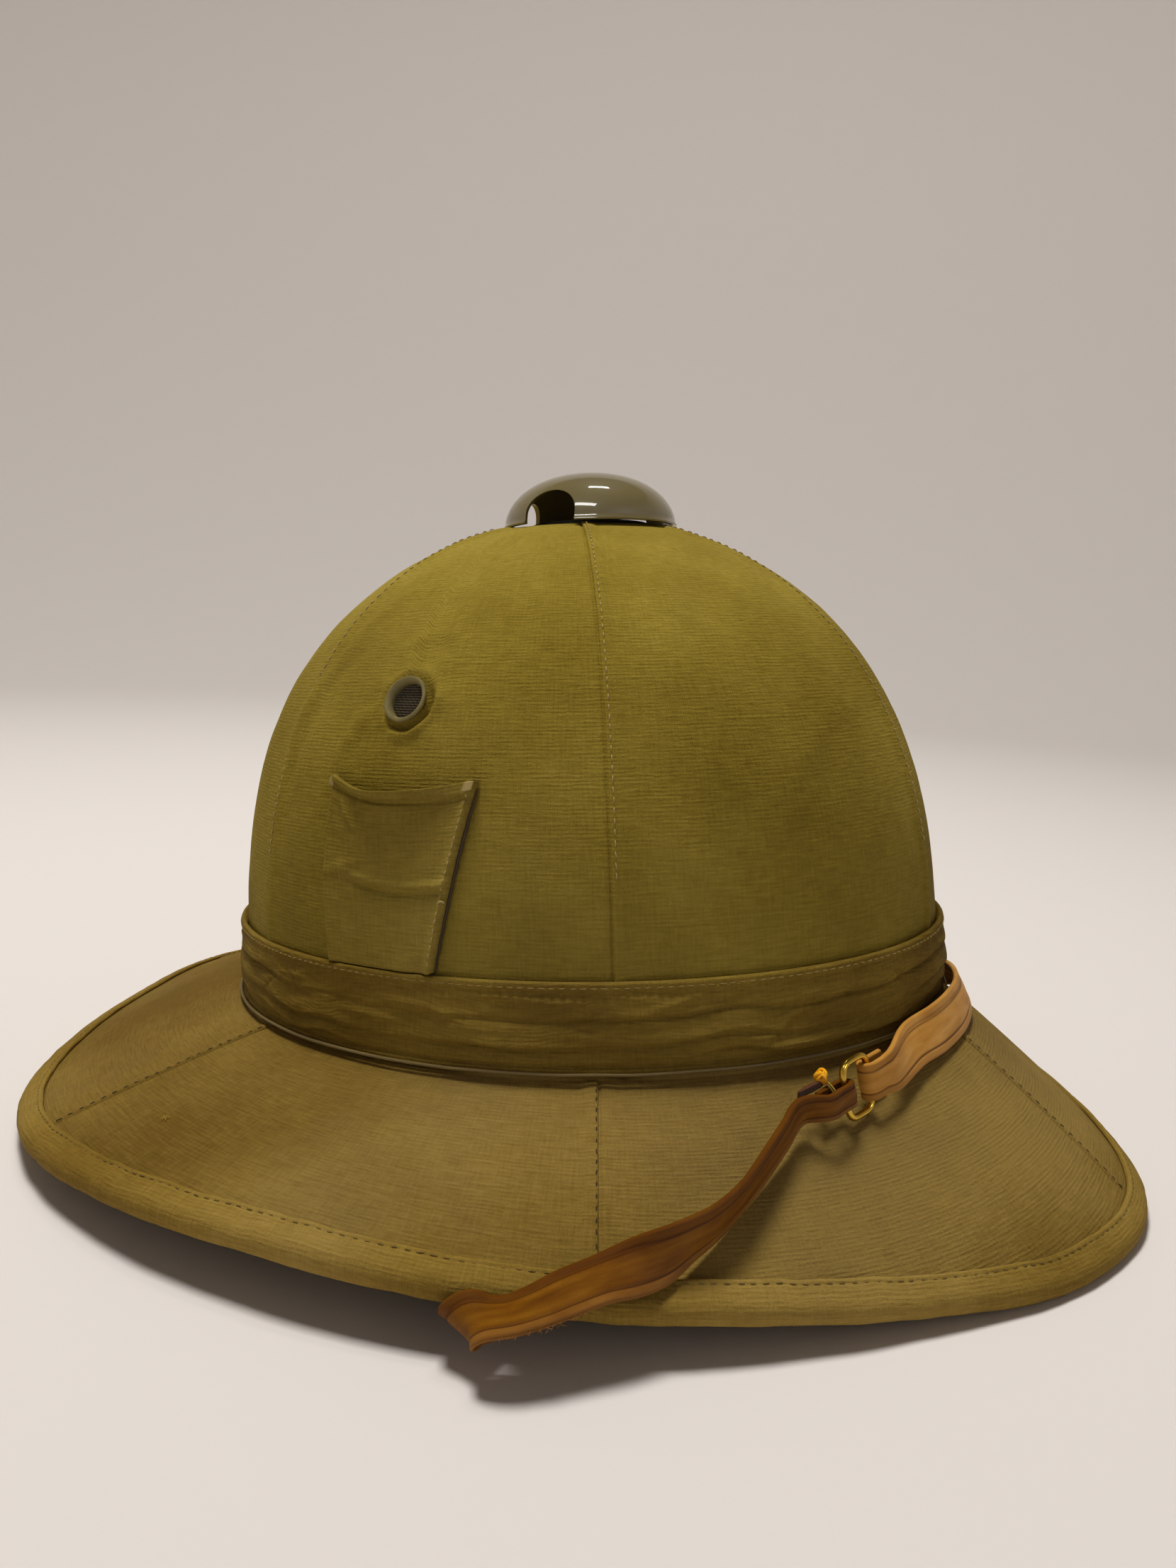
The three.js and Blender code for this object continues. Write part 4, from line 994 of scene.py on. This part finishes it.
def make_binding():
    count = 1260
    angles = np.arange(count) / count * 360
    length = brim_line(angles)[3]
    height = BINDING + CLEARANCE
    roll = SHELL / 2 + height
    flat = brim_point(angles, 1 - BINDING_TOP / length, 0)
    top_edge = BINDING_TOP + 0.35 * noise(flat, 14, 61) + 0.2 * noise(flat, 5, 62)

    def on_roll(radius, turn):
        return brim_point(angles, 1 + radius * cosd(turn) / length, -SHELL / 2 + radius * sind(turn))

    hem = (
        (0.0, CLEARANCE - 0.1), (0.05, height * 0.55), (0.3, height * 0.95), (0.7, height * 1.06),
        (1.1, height * 0.98), (1.5, height * 0.93), (1.9, height * 0.97), (2.6, height), (3.7, height),
    )
    rows = [brim_point(angles, 1 - (top_edge - back) / length, lift) for back, lift in hem]
    rows += [on_roll(roll, turn) for turn in np.linspace(90, -90, 22)]
    rows += [brim_point(angles, 1 - inward / length, -SHELL - height) for inward in (2.5, 5, 7, 7.8)]
    outer_count = len(rows)
    rows.append(brim_point(angles, 1 - BINDING_UNDER / length, -SHELL - CLEARANCE))
    rows += [on_roll(SHELL / 2 + CLEARANCE, turn) for turn in (-90, -45, 0, 45, 90)]
    grid = np.stack(rows, 1)
    normals = grid_normals(grid, True)
    centre = on_roll(0, 0)[:, None]
    if ((grid[:, 5:30] - centre) * normals[:, 5:30]).sum() < 0:
        normals = -normals
    relief = 0.14 * noise(grid, 9, 63) + 0.07 * noise(grid, 3.2, 64) + 0.1 * noise(grid, 5.5, 65)
    fade = np.zeros(grid.shape[1])
    fade[1:outer_count] = 1
    grid = grid + normals * (relief * fade)[..., None]
    grid[..., 2] = np.maximum(grid[..., 2], 0.0)
    uv = closed_uv(grid, np.append(rad(angles), 2 * math.pi) * 165, 1)
    binding = grid_object("rim_tape", grid, TAPE_CLOTH, ring=True, tube=True, uv=uv)
    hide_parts("rim_binding")

    bundle = Bundle()
    path = brim_point(angles, 1 - (top_edge - 1.35) / length, height * 0.95)
    normals = unit(brim_point(angles, 1 - BINDING_TOP / length, 2.0) - flat)
    stitch_row(bundle, path, normals, 3.1, 1.8, 0.16, True, 66, height=0.06)
    bundle.build("rim_stitches", SEAM_THREAD)


# Vents


def lathe_grid(profile, segments):
    spread = np.arange(segments) / segments * 2 * math.pi
    profile = np.asarray(profile, float)
    radius, height = profile[:, 0], profile[:, 1]
    x = cos(spread)[:, None] * radius
    y = sin(spread)[:, None] * radius
    return np.stack([x, y, np.broadcast_to(height, x.shape)], -1)


def rounded(profile, radius, steps=4):
    """Closed profile with each corner rounded."""
    profile = np.asarray(profile, float)
    result = []
    count = len(profile)
    for index in range(count):
        here = profile[index]
        before = profile[index - 1] - here
        after = profile[(index + 1) % count] - here
        reach = min(radius, np.linalg.norm(before) * 0.45, np.linalg.norm(after) * 0.45)
        start = here + unit(before) * reach
        end = here + unit(after) * reach
        for step in range(steps + 1):
            t = step / steps
            result.append(start * (1 - t) ** 2 + here * 2 * t * (1 - t) + end * t ** 2)
    return np.array(result)


def aimed(points, way, place):
    turn = np.array(Vector((0, 0, 1)).rotation_difference(Vector(way)).to_matrix())
    return points @ turn.T + place


def cap_arc(radius, height, steps):
    turn = rad(np.linspace(0, 90, steps + 1))
    return np.stack([radius * np.maximum(cos(turn), 0) ** 0.9, CAP_SEAT + height * sin(turn)], 1)


def make_cap():
    inner = cap_arc(CAP_RADIUS - CAP_THICKNESS, CAP_HEIGHT - CAP_THICKNESS, 24)
    outer = cap_arc(CAP_RADIUS, CAP_HEIGHT, 40)
    post_foot = CAP_SEAT + 1 + CLEARANCE
    post_top = CAP_SEAT + CAP_HEIGHT - CAP_THICKNESS * 1.5
    lip = np.array(
        [[CAP_RADIUS - 0.5, CAP_SEAT], [CAP_RADIUS + 0.2, CAP_SEAT], [CAP_RADIUS + 0.4, CAP_SEAT + 0.4],
         [CAP_RADIUS + 0.25, CAP_SEAT + 0.8], [CAP_RADIUS - 0.02, CAP_SEAT + 1.1]]
    )
    profile = np.vstack(
        [
            [[0.02, post_foot], [2.6, post_foot], [2.6, post_top]],
            inner[inner[:, 0] > 2.7][::-1],
            lip,
            outer[(outer[:, 1] > CAP_SEAT + 1.6) & (outer[:, 0] > 0.02)],
            [[0.02, CAP_SEAT + CAP_HEIGHT]],
        ]
    )
    grid = lathe_grid(profile, 160)
    grid[..., 0] += CAP_FORWARD
    cap = grid_object("vent_cap_shell", stood(grid), CAP_PAINT, ring=True, tube=True)
    half = OPENING_WIDTH / 2
    arch = np.linspace(0, math.pi, 25)
    outline = [[-half, -CAP_HEIGHT], [half, -CAP_HEIGHT]]
    outline += [[half * math.cos(a), OPENING_SHOULDER + OPENING_ARCH * math.sin(a)] for a in arch]
    outline = np.array(outline)
    for way in (90, 180, 270):
        ahead = np.array([cosd(way), -sind(way), 0])
        aside = np.array([sind(way), cosd(way), 0])
        near = np.array([CAP_FORWARD, 0, CAP_SEAT]) + ahead * 4
        near = near + outline[:, :1] * aside + outline[:, 1:] * [0, 0, 1]
        cut_prism(cap, stood(near), stood(near + ahead * 2 * CAP_RADIUS))
    cap.data.shade_smooth()
    cap.data.set_sharp_from_angle(angle=math.radians(40))
    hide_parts("vent_cap")


def make_side_vent(side, word):
    place, way = vent_seat(side)
    bore, rim = VENT_BORE, VENT_RADIUS
    profile = [
        [bore + 0.4, -SHELL], [bore + 0.65, -SHELL], [bore + 0.65, 0.3], [rim - 0.4, 0.3], [rim, 0.9],
        [rim - 0.1, 1.6], [rim - 0.7, 1.8], [rim - 1.2, 1.3], [bore + 0.5, 0.3],
    ]
    grid = aimed(lathe_grid(rounded(profile, 0.35), 72), way, place)
    ring = grid_object(f"vent_ring_{word}", grid, VENT_METAL, ring=True, tube=True)
    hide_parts(f"side_vent_{word}")
    bundle = Bundle()
    reach = VENT_BORE + 0.42
    pitch = 0.78
    for direction in (0, 1):
        for number in range(-6, 7):
            offset = number * pitch
            half = math.sqrt(max(reach ** 2 - offset ** 2, 0))
            if half < 0.8:
                continue
            run = np.linspace(-half, half, 40)
            lift = 0.13 * np.cos(run / pitch * math.pi + number * math.pi + direction * math.pi)
            wire = np.stack([run, np.full(40, offset), -0.9 + lift], 1)
            if direction:
                wire = wire[:, [1, 0, 2]]
            bundle.add(aimed(wire, way, place), 0.16 if direction else 0.25, sides=6, taper=False)
    gauze = bundle.build(f"vent_gauze_{word}", GAUZE_WIRE)
    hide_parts(f"side_gauze_{word}")


# Pocket

POCKET_TOP = 75.0
POCKET_HEIGHT = 49.0
POCKET_WIDTHS = (35.0, 47.5)
POCKET_TOP_X = (-24.8, 22.6)
POCKET_BOTTOM_X = (-22.8, 12.4)


def pocket_point(across, up, lift):
    drop = 4.6 * np.sin(math.pi * np.clip(across, 0, 1) ** 0.87) * np.clip(up, 0, 1) ** 4
    height = lerp(BAND_HEIGHT + CLEARANCE, POCKET_TOP, up) - drop
    bulge = -1.6 * np.sin(math.pi * np.clip(up, 0, 1)) * (1 - across) ** 2
    left, right = [lerp(low, high, up) for low, high in zip(POCKET_BOTTOM_X, POCKET_TOP_X)]
    x = lerp(left, right, across) + bulge
    share = dome_share(height)
    angle = np.degrees(np.arccos(np.clip(x / (CROWN_LENGTH * share), -1, 1)))
    gape = 3.6 * np.sin(math.pi * np.clip(across, 0, 1)) ** 2 * np.clip(up, 0, 1) ** 3
    return dome_point(angle, height) + dome_normal(angle, height) * (CLEARANCE + gape + lift)[..., None]


def make_pocket():
    across = np.linspace(0, 1, 90)
    up = np.concatenate([np.linspace(0, 0.9, 80), np.linspace(0.905, 1.0, 16)])
    side, rise = np.meshgrid(across, up, indexing="ij")
    width = lerp(*POCKET_WIDTHS, rise)
    edge = np.minimum(side, 1 - side) * width
    rounding = np.sqrt(np.clip(1 - (1 - np.clip(edge / 0.8, 0, 1)) ** 2, 0, 1))
    lift = 0.3 + 1.1 * rounding
    lift += 0.6 * gauss((edge - 1.6) / 1.4) * smooth(edge / 0.8)
    lift += 0.5 * gauss(((1 - side) * width - 1.0) / 1.1) * smooth(edge / 0.8)
    lift += 0.15 * (gauss((side * width - 3.4) / 0.8) - gauss((side * width - 5.2) / 0.9))
    above = rise - 0.43 - 0.22 * (side - 0.68) ** 2
    crease = 1.2 * gauss((above - 0.018) / 0.02) - 0.8 * gauss((above + 0.022) / 0.02)
    lift += crease * smooth((side - 0.12) / 0.35) * smooth((1.02 - side) / 0.1)
    lift += 0.45 * gauss((rise - 0.5 - 0.25 * (side - 0.1)) / 0.035) * bump((side - 0.12) / 0.3)
    lift += 0.5 * gauss((rise - 0.83 + 0.9 * (side - 0.16)) / 0.03) * bump((side - 0.2) / 0.18)
    flat = np.stack([side * 45, rise * POCKET_HEIGHT, np.zeros_like(side)], -1)
    lift += 0.28 * noise(flat, 11, 71) + 0.12 * noise(flat, 4, 72)
    hem_foot = lerp(0.962, 0.918, side)
    hem = smooth((rise - hem_foot) / 0.01)
    lift += (0.6 + 1.7 * bump((side - 0.5) / 0.42)) * hem * smooth(edge / 1.5)
    lift -= (0.3 + 0.6 * bump((side - 0.5) / 0.42)) * gauss((rise - hem_foot + 0.014) / 0.016)
    outer = pocket_point(side, rise, np.maximum(lift, 0.15))
    inner_side, inner_rise = np.meshgrid(across, up[::-1][::6], indexing="ij")
    inner = pocket_point(inner_side, inner_rise, np.full_like(inner_side, 0.05))
    grid = np.concatenate([outer, inner], 1)
    wide = np.concatenate([side * width, inner_side * lerp(*POCKET_WIDTHS, inner_rise)], 1)
    uv = np.stack([wide, np.concatenate([rise, inner_rise], 1) * POCKET_HEIGHT], -1)
    uv = np.concatenate([uv, uv[:, :1]], 1)
    grid = stood(grid)
    pocket = grid_object("patch_pocket", grid, POCKET_CLOTH, tube=True, uv=uv, caps=True)
    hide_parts("pocket")

    bundle = Bundle()
    column = int(np.argmin(np.abs(across - 0.968)))
    path = outer[column, 3:86]
    normals = unit(pocket_point(side, rise, np.full_like(side, 9.0)) - outer)[column, 3:86]
    stitch_row(bundle, stood(path), turned_up(normals), 2.2, 1.3, 0.2, False, 81, height=0.16)
    bundle.build("pocket_stitches", PALE_THREAD)
    # Painted shadow: a dark cord just beyond the pocket's right edge stands in for the shade in the gap
    # beside it.
    gap = Bundle()
    levels = np.linspace(0.0, 0.95, 60)
    beside = pocket_point(1.008 + 0.002 * np.sin(levels * 60), levels, np.full(60, 0.35))
    gap.add(stood(beside), 0.42, sides=8)
    gap.build("pocket_edge_painted_shadow", DARK_THREAD_AND_PAINTED_SHADOW)

    tacks = Bundle()
    for number in range(6):
        level = 0.945 + number * 0.007
        run = np.linspace(0.94, 0.995, 6)
        tacks.add(stood(pocket_point(run, np.full(6, level), np.full(6, 3.0))), 0.34, sides=5)
    for number in range(3):
        place = np.full(6, 0.012 + number * 0.012)
        tacks.add(stood(pocket_point(place, np.linspace(0.94, 0.99, 6), np.full(6, 2.4))), 0.2, sides=5)
    turn = np.linspace(0, 5.2, 14)
    loop = pocket_point(0.985 + 0.022 * cos(turn), 0.37 + 0.014 * sin(turn), 2.4 + 0.6 * sin(turn))
    tacks.add(stood(loop), 0.28, sides=5)
    tacks.build("pocket_tacks", PALE_THREAD)


# Chin strap


def strap_station(row):
    angle, out, lift, turn, swing, width = row
    _, slope, normal, _ = brim_line(angle)
    rearward = np.array([-sind(angle), -cosd(angle), 0])
    sideways = upright(angle, slope) * cosd(swing)
    sideways = sideways + rearward * np.sign(angle) * sind(swing)
    face = upright(angle, normal) * cosd(turn) + sideways * sind(turn)
    return brim_point(angle, out, lift), face, width


def crown_station(angle, height):
    share = dome_share(height, CROWN_HEIGHT - SHELL)
    along = (CROWN_LENGTH - SHELL) * share
    across = (CROWN_WIDTH - SHELL) * share
    place = np.array([along * cosd(angle), -across * sind(angle), height])
    face = -turned_up(dome_normal(np.array(float(angle)), np.array(float(height))))
    return stood(place) + face * (2 * CLEARANCE + STRAP_THICKNESS / 2), face, STRAP_WIDTH


def buckle_frame():
    place, face, _ = strap_station(BUCKLE_SEAT)
    before = strap_station(NEAR_ROUTE[-1])[0]
    after = strap_station(FRONT_ROUTE[0])[0]
    run = unit(after - before)
    side = unit(np.cross(face, run))
    away = np.cross(run, side)
    return place, run, -side, away


def buckle_fold(direction, start_width, fold_width):
    middle, along, _, away = buckle_frame()
    bend = BUCKLE_WIRE + CLEARANCE + STRAP_THICKNESS / 2
    bar = BUCKLE_LENGTH - BUCKLE_WIRE

    def at(forward, up):
        return middle - along * direction * forward + away * up

    rows = [(at(bar + FOLD_LENGTH, bend), away, start_width)]
    rows.append((at(bar + FOLD_LENGTH / 2, bend), away, fold_width))
    for turn in (90, 45, 0, -45, -90):
        face = away * sind(turn) + along * direction * cosd(turn)
        rows.append((at(bar - bend * cosd(turn), bend * sind(turn)), face, fold_width))
    for share in (0.5, 1):
        rows.append((at(bar + share * FOLD_LENGTH, -bend), -away, fold_width))
    return rows


def catmull(points, share, centripetal):
    """Catmull-Rom curve through points at shares from 0 to 1, and its direction."""
    points = np.asarray(points, float)
    count = len(points)
    before = 2 * points[0] - points[1]
    after = 2 * points[-1] - points[-2]
    padded = np.vstack([before, points, after])
    place = np.clip(share * (count - 1), 0, count - 1 - 1e-9)
    start = np.floor(place).astype(int)
    part = (place - start)[:, None]
    p0, p1, p2, p3 = [padded[start + offset] for offset in range(4)]
    if centripetal:
        d0, d1, d2 = [
            np.maximum(np.sqrt(np.linalg.norm(second - first, axis=1)), 1e-4)[:, None]
            for first, second in ((p0, p1), (p1, p2), (p2, p3))
        ]
        t1 = (p1 - p0) / d0 - (p2 - p0) / (d0 + d1) + (p2 - p1) / d1
        t2 = (p2 - p1) / d1 - (p3 - p1) / (d1 + d2) + (p3 - p2) / d2
        t1, t2 = t1 * d1, t2 * d1
    else:
        t1, t2 = (p2 - p0) * 0.5, (p3 - p1) * 0.5
    c2 = -3 * p1 + 3 * p2 - 2 * t1 - t2
    c3 = 2 * p1 - 2 * p2 + t1 + t2
    value = p1 + t1 * part + c2 * part ** 2 + c3 * part ** 3
    slope = t1 + 2 * c2 * part + 3 * c3 * part ** 2
    return value, unit(slope)


def make_strap(name, stations, cad_name, seed, finish):
    steps = len(stations) * 14
    share = np.linspace(0, 1, steps)
    centre, ahead = catmull([s[0] for s in stations], share, True)
    face, _ = catmull([s[1] for s in stations], share, False)
    width = np.interp(share, np.linspace(0, 1, len(stations)), [s[2] for s in stations])
    across = unit(np.cross(face, ahead))
    away = unit(np.cross(ahead, across))
    half = STRAP_THICKNESS / 2
    places = np.linspace(-1, 1, 41)
    edge = 1 - np.abs(places)
    rounding = np.sqrt(np.clip(1 - (1 - np.clip(edge / 0.1, 0, 1)) ** 2, 0, 1))
    top = half * (0.25 + 0.75 * rounding)
    groove = -0.3 * gauss((np.abs(places) - 0.62) / 0.05)
    crown = 0.12 * bump(places / 0.6)
    top = top + groove + crown - 0.05
    bottom = -half * (0.25 + 0.75 * rounding)
    section_across = np.concatenate([places, places[::-1]])
    section_away = np.concatenate([top, bottom])
    wobble = 1 + 0.012 * noise(centre, 15, seed)
    grid = (
        centre[:, None]
        + across[:, None] * (section_across * (width * wobble)[:, None] / 2)[..., None]
        + away[:, None] * section_away[:, None]
    )
    rough = noise(grid, 7, seed + 1) * 0.03 + noise(grid, 2.2, seed + 2) * 0.02
    grid = grid + away[:, None] * rough[..., None]
    run, _ = run_lengths(centre, False)
    level = np.append(section_across, section_across[0]) * STRAP_WIDTH / 2
    uv = np.stack(np.broadcast_arrays(run[:, None], level), -1)
    strap = grid_object(name, grid, finish, tube=True, uv=uv, caps=True)
    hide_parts(cad_name)
    return grid[:, 0], across


def make_straps():
    near = [crown_station(STRAP_ANGLE, height) for height in CROWN_ROWS]
    near += [strap_station(row) for row in NEAR_ROUTE] + buckle_fold(1, PINCH_WIDTH, PINCH_WIDTH)
    edge, across = make_strap("strap_near", near, "chin_strap_lower", 90, PAINTED_SHADE_LEATHER)
    fray_edge(edge, across, len(near))
    far = buckle_fold(-1, STRAP_WIDTH, FOLD_WIDTH)[::-1] + [strap_station(row) for row in FRONT_ROUTE]
    far += [crown_station(-STRAP_ANGLE, height) for height in CROWN_ROWS[::-1]]
    make_strap("strap_front", far, "chin_strap_front", 95, PAINTED_LIGHT_LEATHER)


def fray_edge(edge, across, stations):
    """Short loose fibres along the strap's lower edge where it comes over the rim."""
    rng = np.random.default_rng(97)
    bundle = Bundle()
    first = int(11.2 / (stations - 1) * len(edge))
    last = int(14.2 / (stations - 1) * len(edge))
    for _ in range(30):
        step = int(rng.uniform(first, last))
        reach = rng.uniform(0.4, 1.7)
        share = np.linspace(0, 1, 6)[:, None]
        drift = rng.normal(0, 0.35, 3)
        way = -across[step] + drift
        path = edge[step] + way * reach * share + drift[::-1] * reach * share ** 2
        bundle.add(path, rng.uniform(0.05, 0.09), sides=5)
    bundle.build("strap_fibres", FIBRE)


# Mended end of the lower strap, as side angle, share of the way out and lift
TAIL_ROUTE = [(33.6, 0.176, 7.9), (34.4, 0.185, 8.0), (35.9, 0.201, 7.8), (37.3, 0.218, 7.5)]
KNOT_SEAT = (33.9, 0.161, 9.0)
NICK_SEAT = (109.1, 0.666)
WRAP_ROUTE = [(33.9, 0.161, 9.0), (33.6, 0.195, 9.3), (33.2, 0.232, 8.9), (33.1, 0.27, 8.0), (32.8, 0.3, 6.2)]


def route_path(route, steps):
    return catmull([brim_point(*row) for row in route], np.linspace(0, 1, steps), True)[0]


def make_mend():
    """The cut tail of the strap beside the ring and the thread knotted round it."""
    tail = Bundle()
    path = route_path(TAIL_ROUTE, 14)
    for offset in (-0.55, 0, 0.55):
        tail.add(path + np.array([0, 0, offset]), 0.62, sides=8)
    tail.build("strap_tail", TAIL_LEATHER)

    knot = Bundle()
    rng = np.random.default_rng(98)
    centre = brim_point(*KNOT_SEAT)
    spin = np.arange(16) / 16 * 2 * math.pi
    for _ in range(7):
        axis = unit(rng.normal(0, 1, 3))
        side = unit(np.cross(axis, [0.3, 0.5, 0.8]))
        other = np.cross(axis, side)
        loop = centre + 1.4 * (np.outer(cos(spin), side) + np.outer(sin(spin), other))
        loop = loop + rng.normal(0, 0.25, 3)
        knot.add(loop, 0.5, sides=6, ring=True)
    knot.build("mend_knot", KNOT_THREAD)

    loose = Bundle()
    for shift in (-0.35, 0.35):
        wrap = route_path(WRAP_ROUTE, 24) + np.array([shift, 0, 0.15 * shift])
        loose.add(wrap, 0.26, sides=6)
    angle, out = NICK_SEAT
    for number in range(5):
        turn = number * 1.3
        route = [
            (angle, out, 0.2), (angle + 0.35 * math.cos(turn), out + 0.012 * math.sin(turn), 0.8),
            (angle + 0.6 * math.cos(turn), out + 0.02 * math.sin(turn), 0.3),
        ]
        loose.add(route_path(route, 8), 0.12, sides=5)
    loose.build("loose_threads", LOOSE_THREAD)


def make_buckle():
    place, along, across, away = buckle_frame()
    turn = np.arange(120) / 120 * 2 * math.pi
    long_share = np.sign(cos(turn)) * np.abs(cos(turn)) ** 0.5
    high_share = np.sign(sin(turn)) * np.abs(sin(turn)) ** 0.5
    for _ in range(3):
        long_share = (np.roll(long_share, 1) + long_share + np.roll(long_share, -1)) / 3
        high_share = (np.roll(high_share, 1) + high_share + np.roll(high_share, -1)) / 3
    path = (
        place
        + np.outer(long_share, along) * (BUCKLE_LENGTH - BUCKLE_WIRE)
        + np.outer(high_share, across) * (BUCKLE_HEIGHT - BUCKLE_WIRE)
    )
    ahead = unit(np.roll(path, -1, 0) - np.roll(path, 1, 0))
    side = unit(np.cross(ahead, away))
    spin = np.arange(16) / 16 * 2 * math.pi
    grid = path[:, None] + BUCKLE_WIRE * (
        side[:, None] * cos(spin)[:, None] + np.broadcast_to(away, path.shape)[:, None] * sin(spin)[:, None]
    )
    ring = grid_object("buckle_ring", grid, BRASS, ring=True, tube=True)
    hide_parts("strap_buckle")


def dress_plain_nodes():
    """Materials for the small CAD pieces whose own shape is right: brass for the rivets and painted shade for
    the vent collar.
    """
    for name, made in (
        ("vent_collar", PAINTED_SHADE_INSIDE), ("strap_rivet_right", BRASS), ("strap_rivet_left", BRASS),
    ):
        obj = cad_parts[name]
        obj.data.materials.clear()
        obj.data.materials.append(made)
        bevel = obj.modifiers.new("soft_edges", "BEVEL")
        bevel.width = 0.0002
        bevel.segments = 2
        bevel.limit_method = "ANGLE"


# Photograph's camera: place in metres, direction, roll in degrees, focal length over the picture's height
CAMERA_PLACE = (0.18014, -0.34713, 0.16109)
CAMERA_WAY = (-0.46232, 0.87428, -0.14798)
CAMERA_ROLL = 3.46
FOCAL_SHARE = 1661.0 / 2212.0


def make_stage():
    """Pale floor that curves up into a pale wall all round, soft lights and the photograph's camera."""
    floor, _, shader = material("studio_floor")
    shader.inputs["Base Color"].default_value = (0.78, 0.735, 0.70, 1)
    shader.inputs["Roughness"].default_value = 0.9
    shader.inputs["Specular IOR Level"].default_value = 0.1
    flat, curve, wall = 1.5, 1.0, 2.6
    profile = [(0.02, 0.0), (0.5, 0.0), (1.0, 0.0)]
    for turn in np.linspace(0, math.pi / 2, 24):
        profile.append((flat + curve * math.sin(turn), curve * (1 - math.cos(turn))))
    profile.append((flat + curve, wall))
    spread = np.arange(96) / 96 * 2 * math.pi
    points = [(r * math.cos(a), r * math.sin(a), z) for a in spread for r, z in profile]
    count = len(profile)
    faces = [
        (i * count + j, (i + 1) % 96 * count + j, (i + 1) % 96 * count + j + 1, i * count + j + 1)
        for i in range(96) for j in range(count - 1)
    ]
    faces.append(tuple(i * count for i in range(96)))
    mesh = bpy.data.meshes.new("floor")
    mesh.from_pydata(points, [], faces)
    mesh.shade_smooth()
    obj = bpy.data.objects.new("floor", mesh)
    mesh.materials.append(floor)
    bpy.context.scene.collection.objects.link(obj)

    world = bpy.data.worlds.new("studio")
    bpy.context.scene.world = world
    world.use_nodes = True
    background = world.node_tree.nodes["Background"]
    background.inputs["Color"].default_value = (1.0, 0.98, 0.95, 1)
    background.inputs["Strength"].default_value = 0.05
    bpy.context.scene.view_settings.view_transform = "Standard"

    def area(name, place, target, wide, power, colour):
        light = bpy.data.lights.new(name, "AREA")
        light.shape = "RECTANGLE"
        light.size, light.size_y = wide
        light.energy = power
        light.color = colour
        lamp = bpy.data.objects.new(name, light)
        lamp.location = place
        lamp.rotation_mode = "QUATERNION"
        lamp.rotation_quaternion = (Vector(target) - Vector(place)).to_track_quat("-Z", "Y")
        bpy.context.scene.collection.objects.link(lamp)
        return lamp

    ceiling = area("ceiling", (-0.25, -0.1, 1.85), (0, 0, 0.1), (0.45, 0.45), 28.0, (1.0, 0.98, 0.95))
    ceiling.visible_glossy = False
    area("wall_wash", (-0.2, 0.5, 2.3), (-1.2, 2.2, 1.0), (0.5, 0.5), 13.0, (1.0, 0.98, 0.96))
    cap = np.array([0.005, -0.02, 0.19])
    for name, way, wide in (
        ("window_behind", (0.154, -0.595, 0.789), (0.62, 0.2)),
        ("window_front", (0.891, -0.222, 0.395), (0.5, 0.3)),
    ):
        glint = area(name, cap + 1.5 * np.array(way), cap, wide, 4.5, (1.0, 0.99, 0.97))
        glint.visible_diffuse = False

    camera = bpy.data.cameras.new("camera")
    camera.sensor_width = 36.0
    camera.lens = 36.0 * FOCAL_SHARE
    camera.clip_start = 0.01
    camera.clip_end = 60.0
    rig = bpy.data.objects.new("camera", camera)
    rig.location = CAMERA_PLACE
    rig.rotation_mode = "QUATERNION"
    roll = Quaternion((0, 0, 1), math.radians(CAMERA_ROLL))
    rig.rotation_quaternion = Vector(CAMERA_WAY).to_track_quat("-Z", "Y") @ roll
    bpy.context.scene.collection.objects.link(rig)
    bpy.context.scene.camera = rig


make_crown()
make_band()
make_brim()
make_binding()
make_cap()
for vent_side, vent_word in ((1, "right"), (-1, "left")):
    make_side_vent(vent_side, vent_word)
make_pocket()
make_straps()
make_mend()
make_buckle()
dress_plain_nodes()
make_stage()
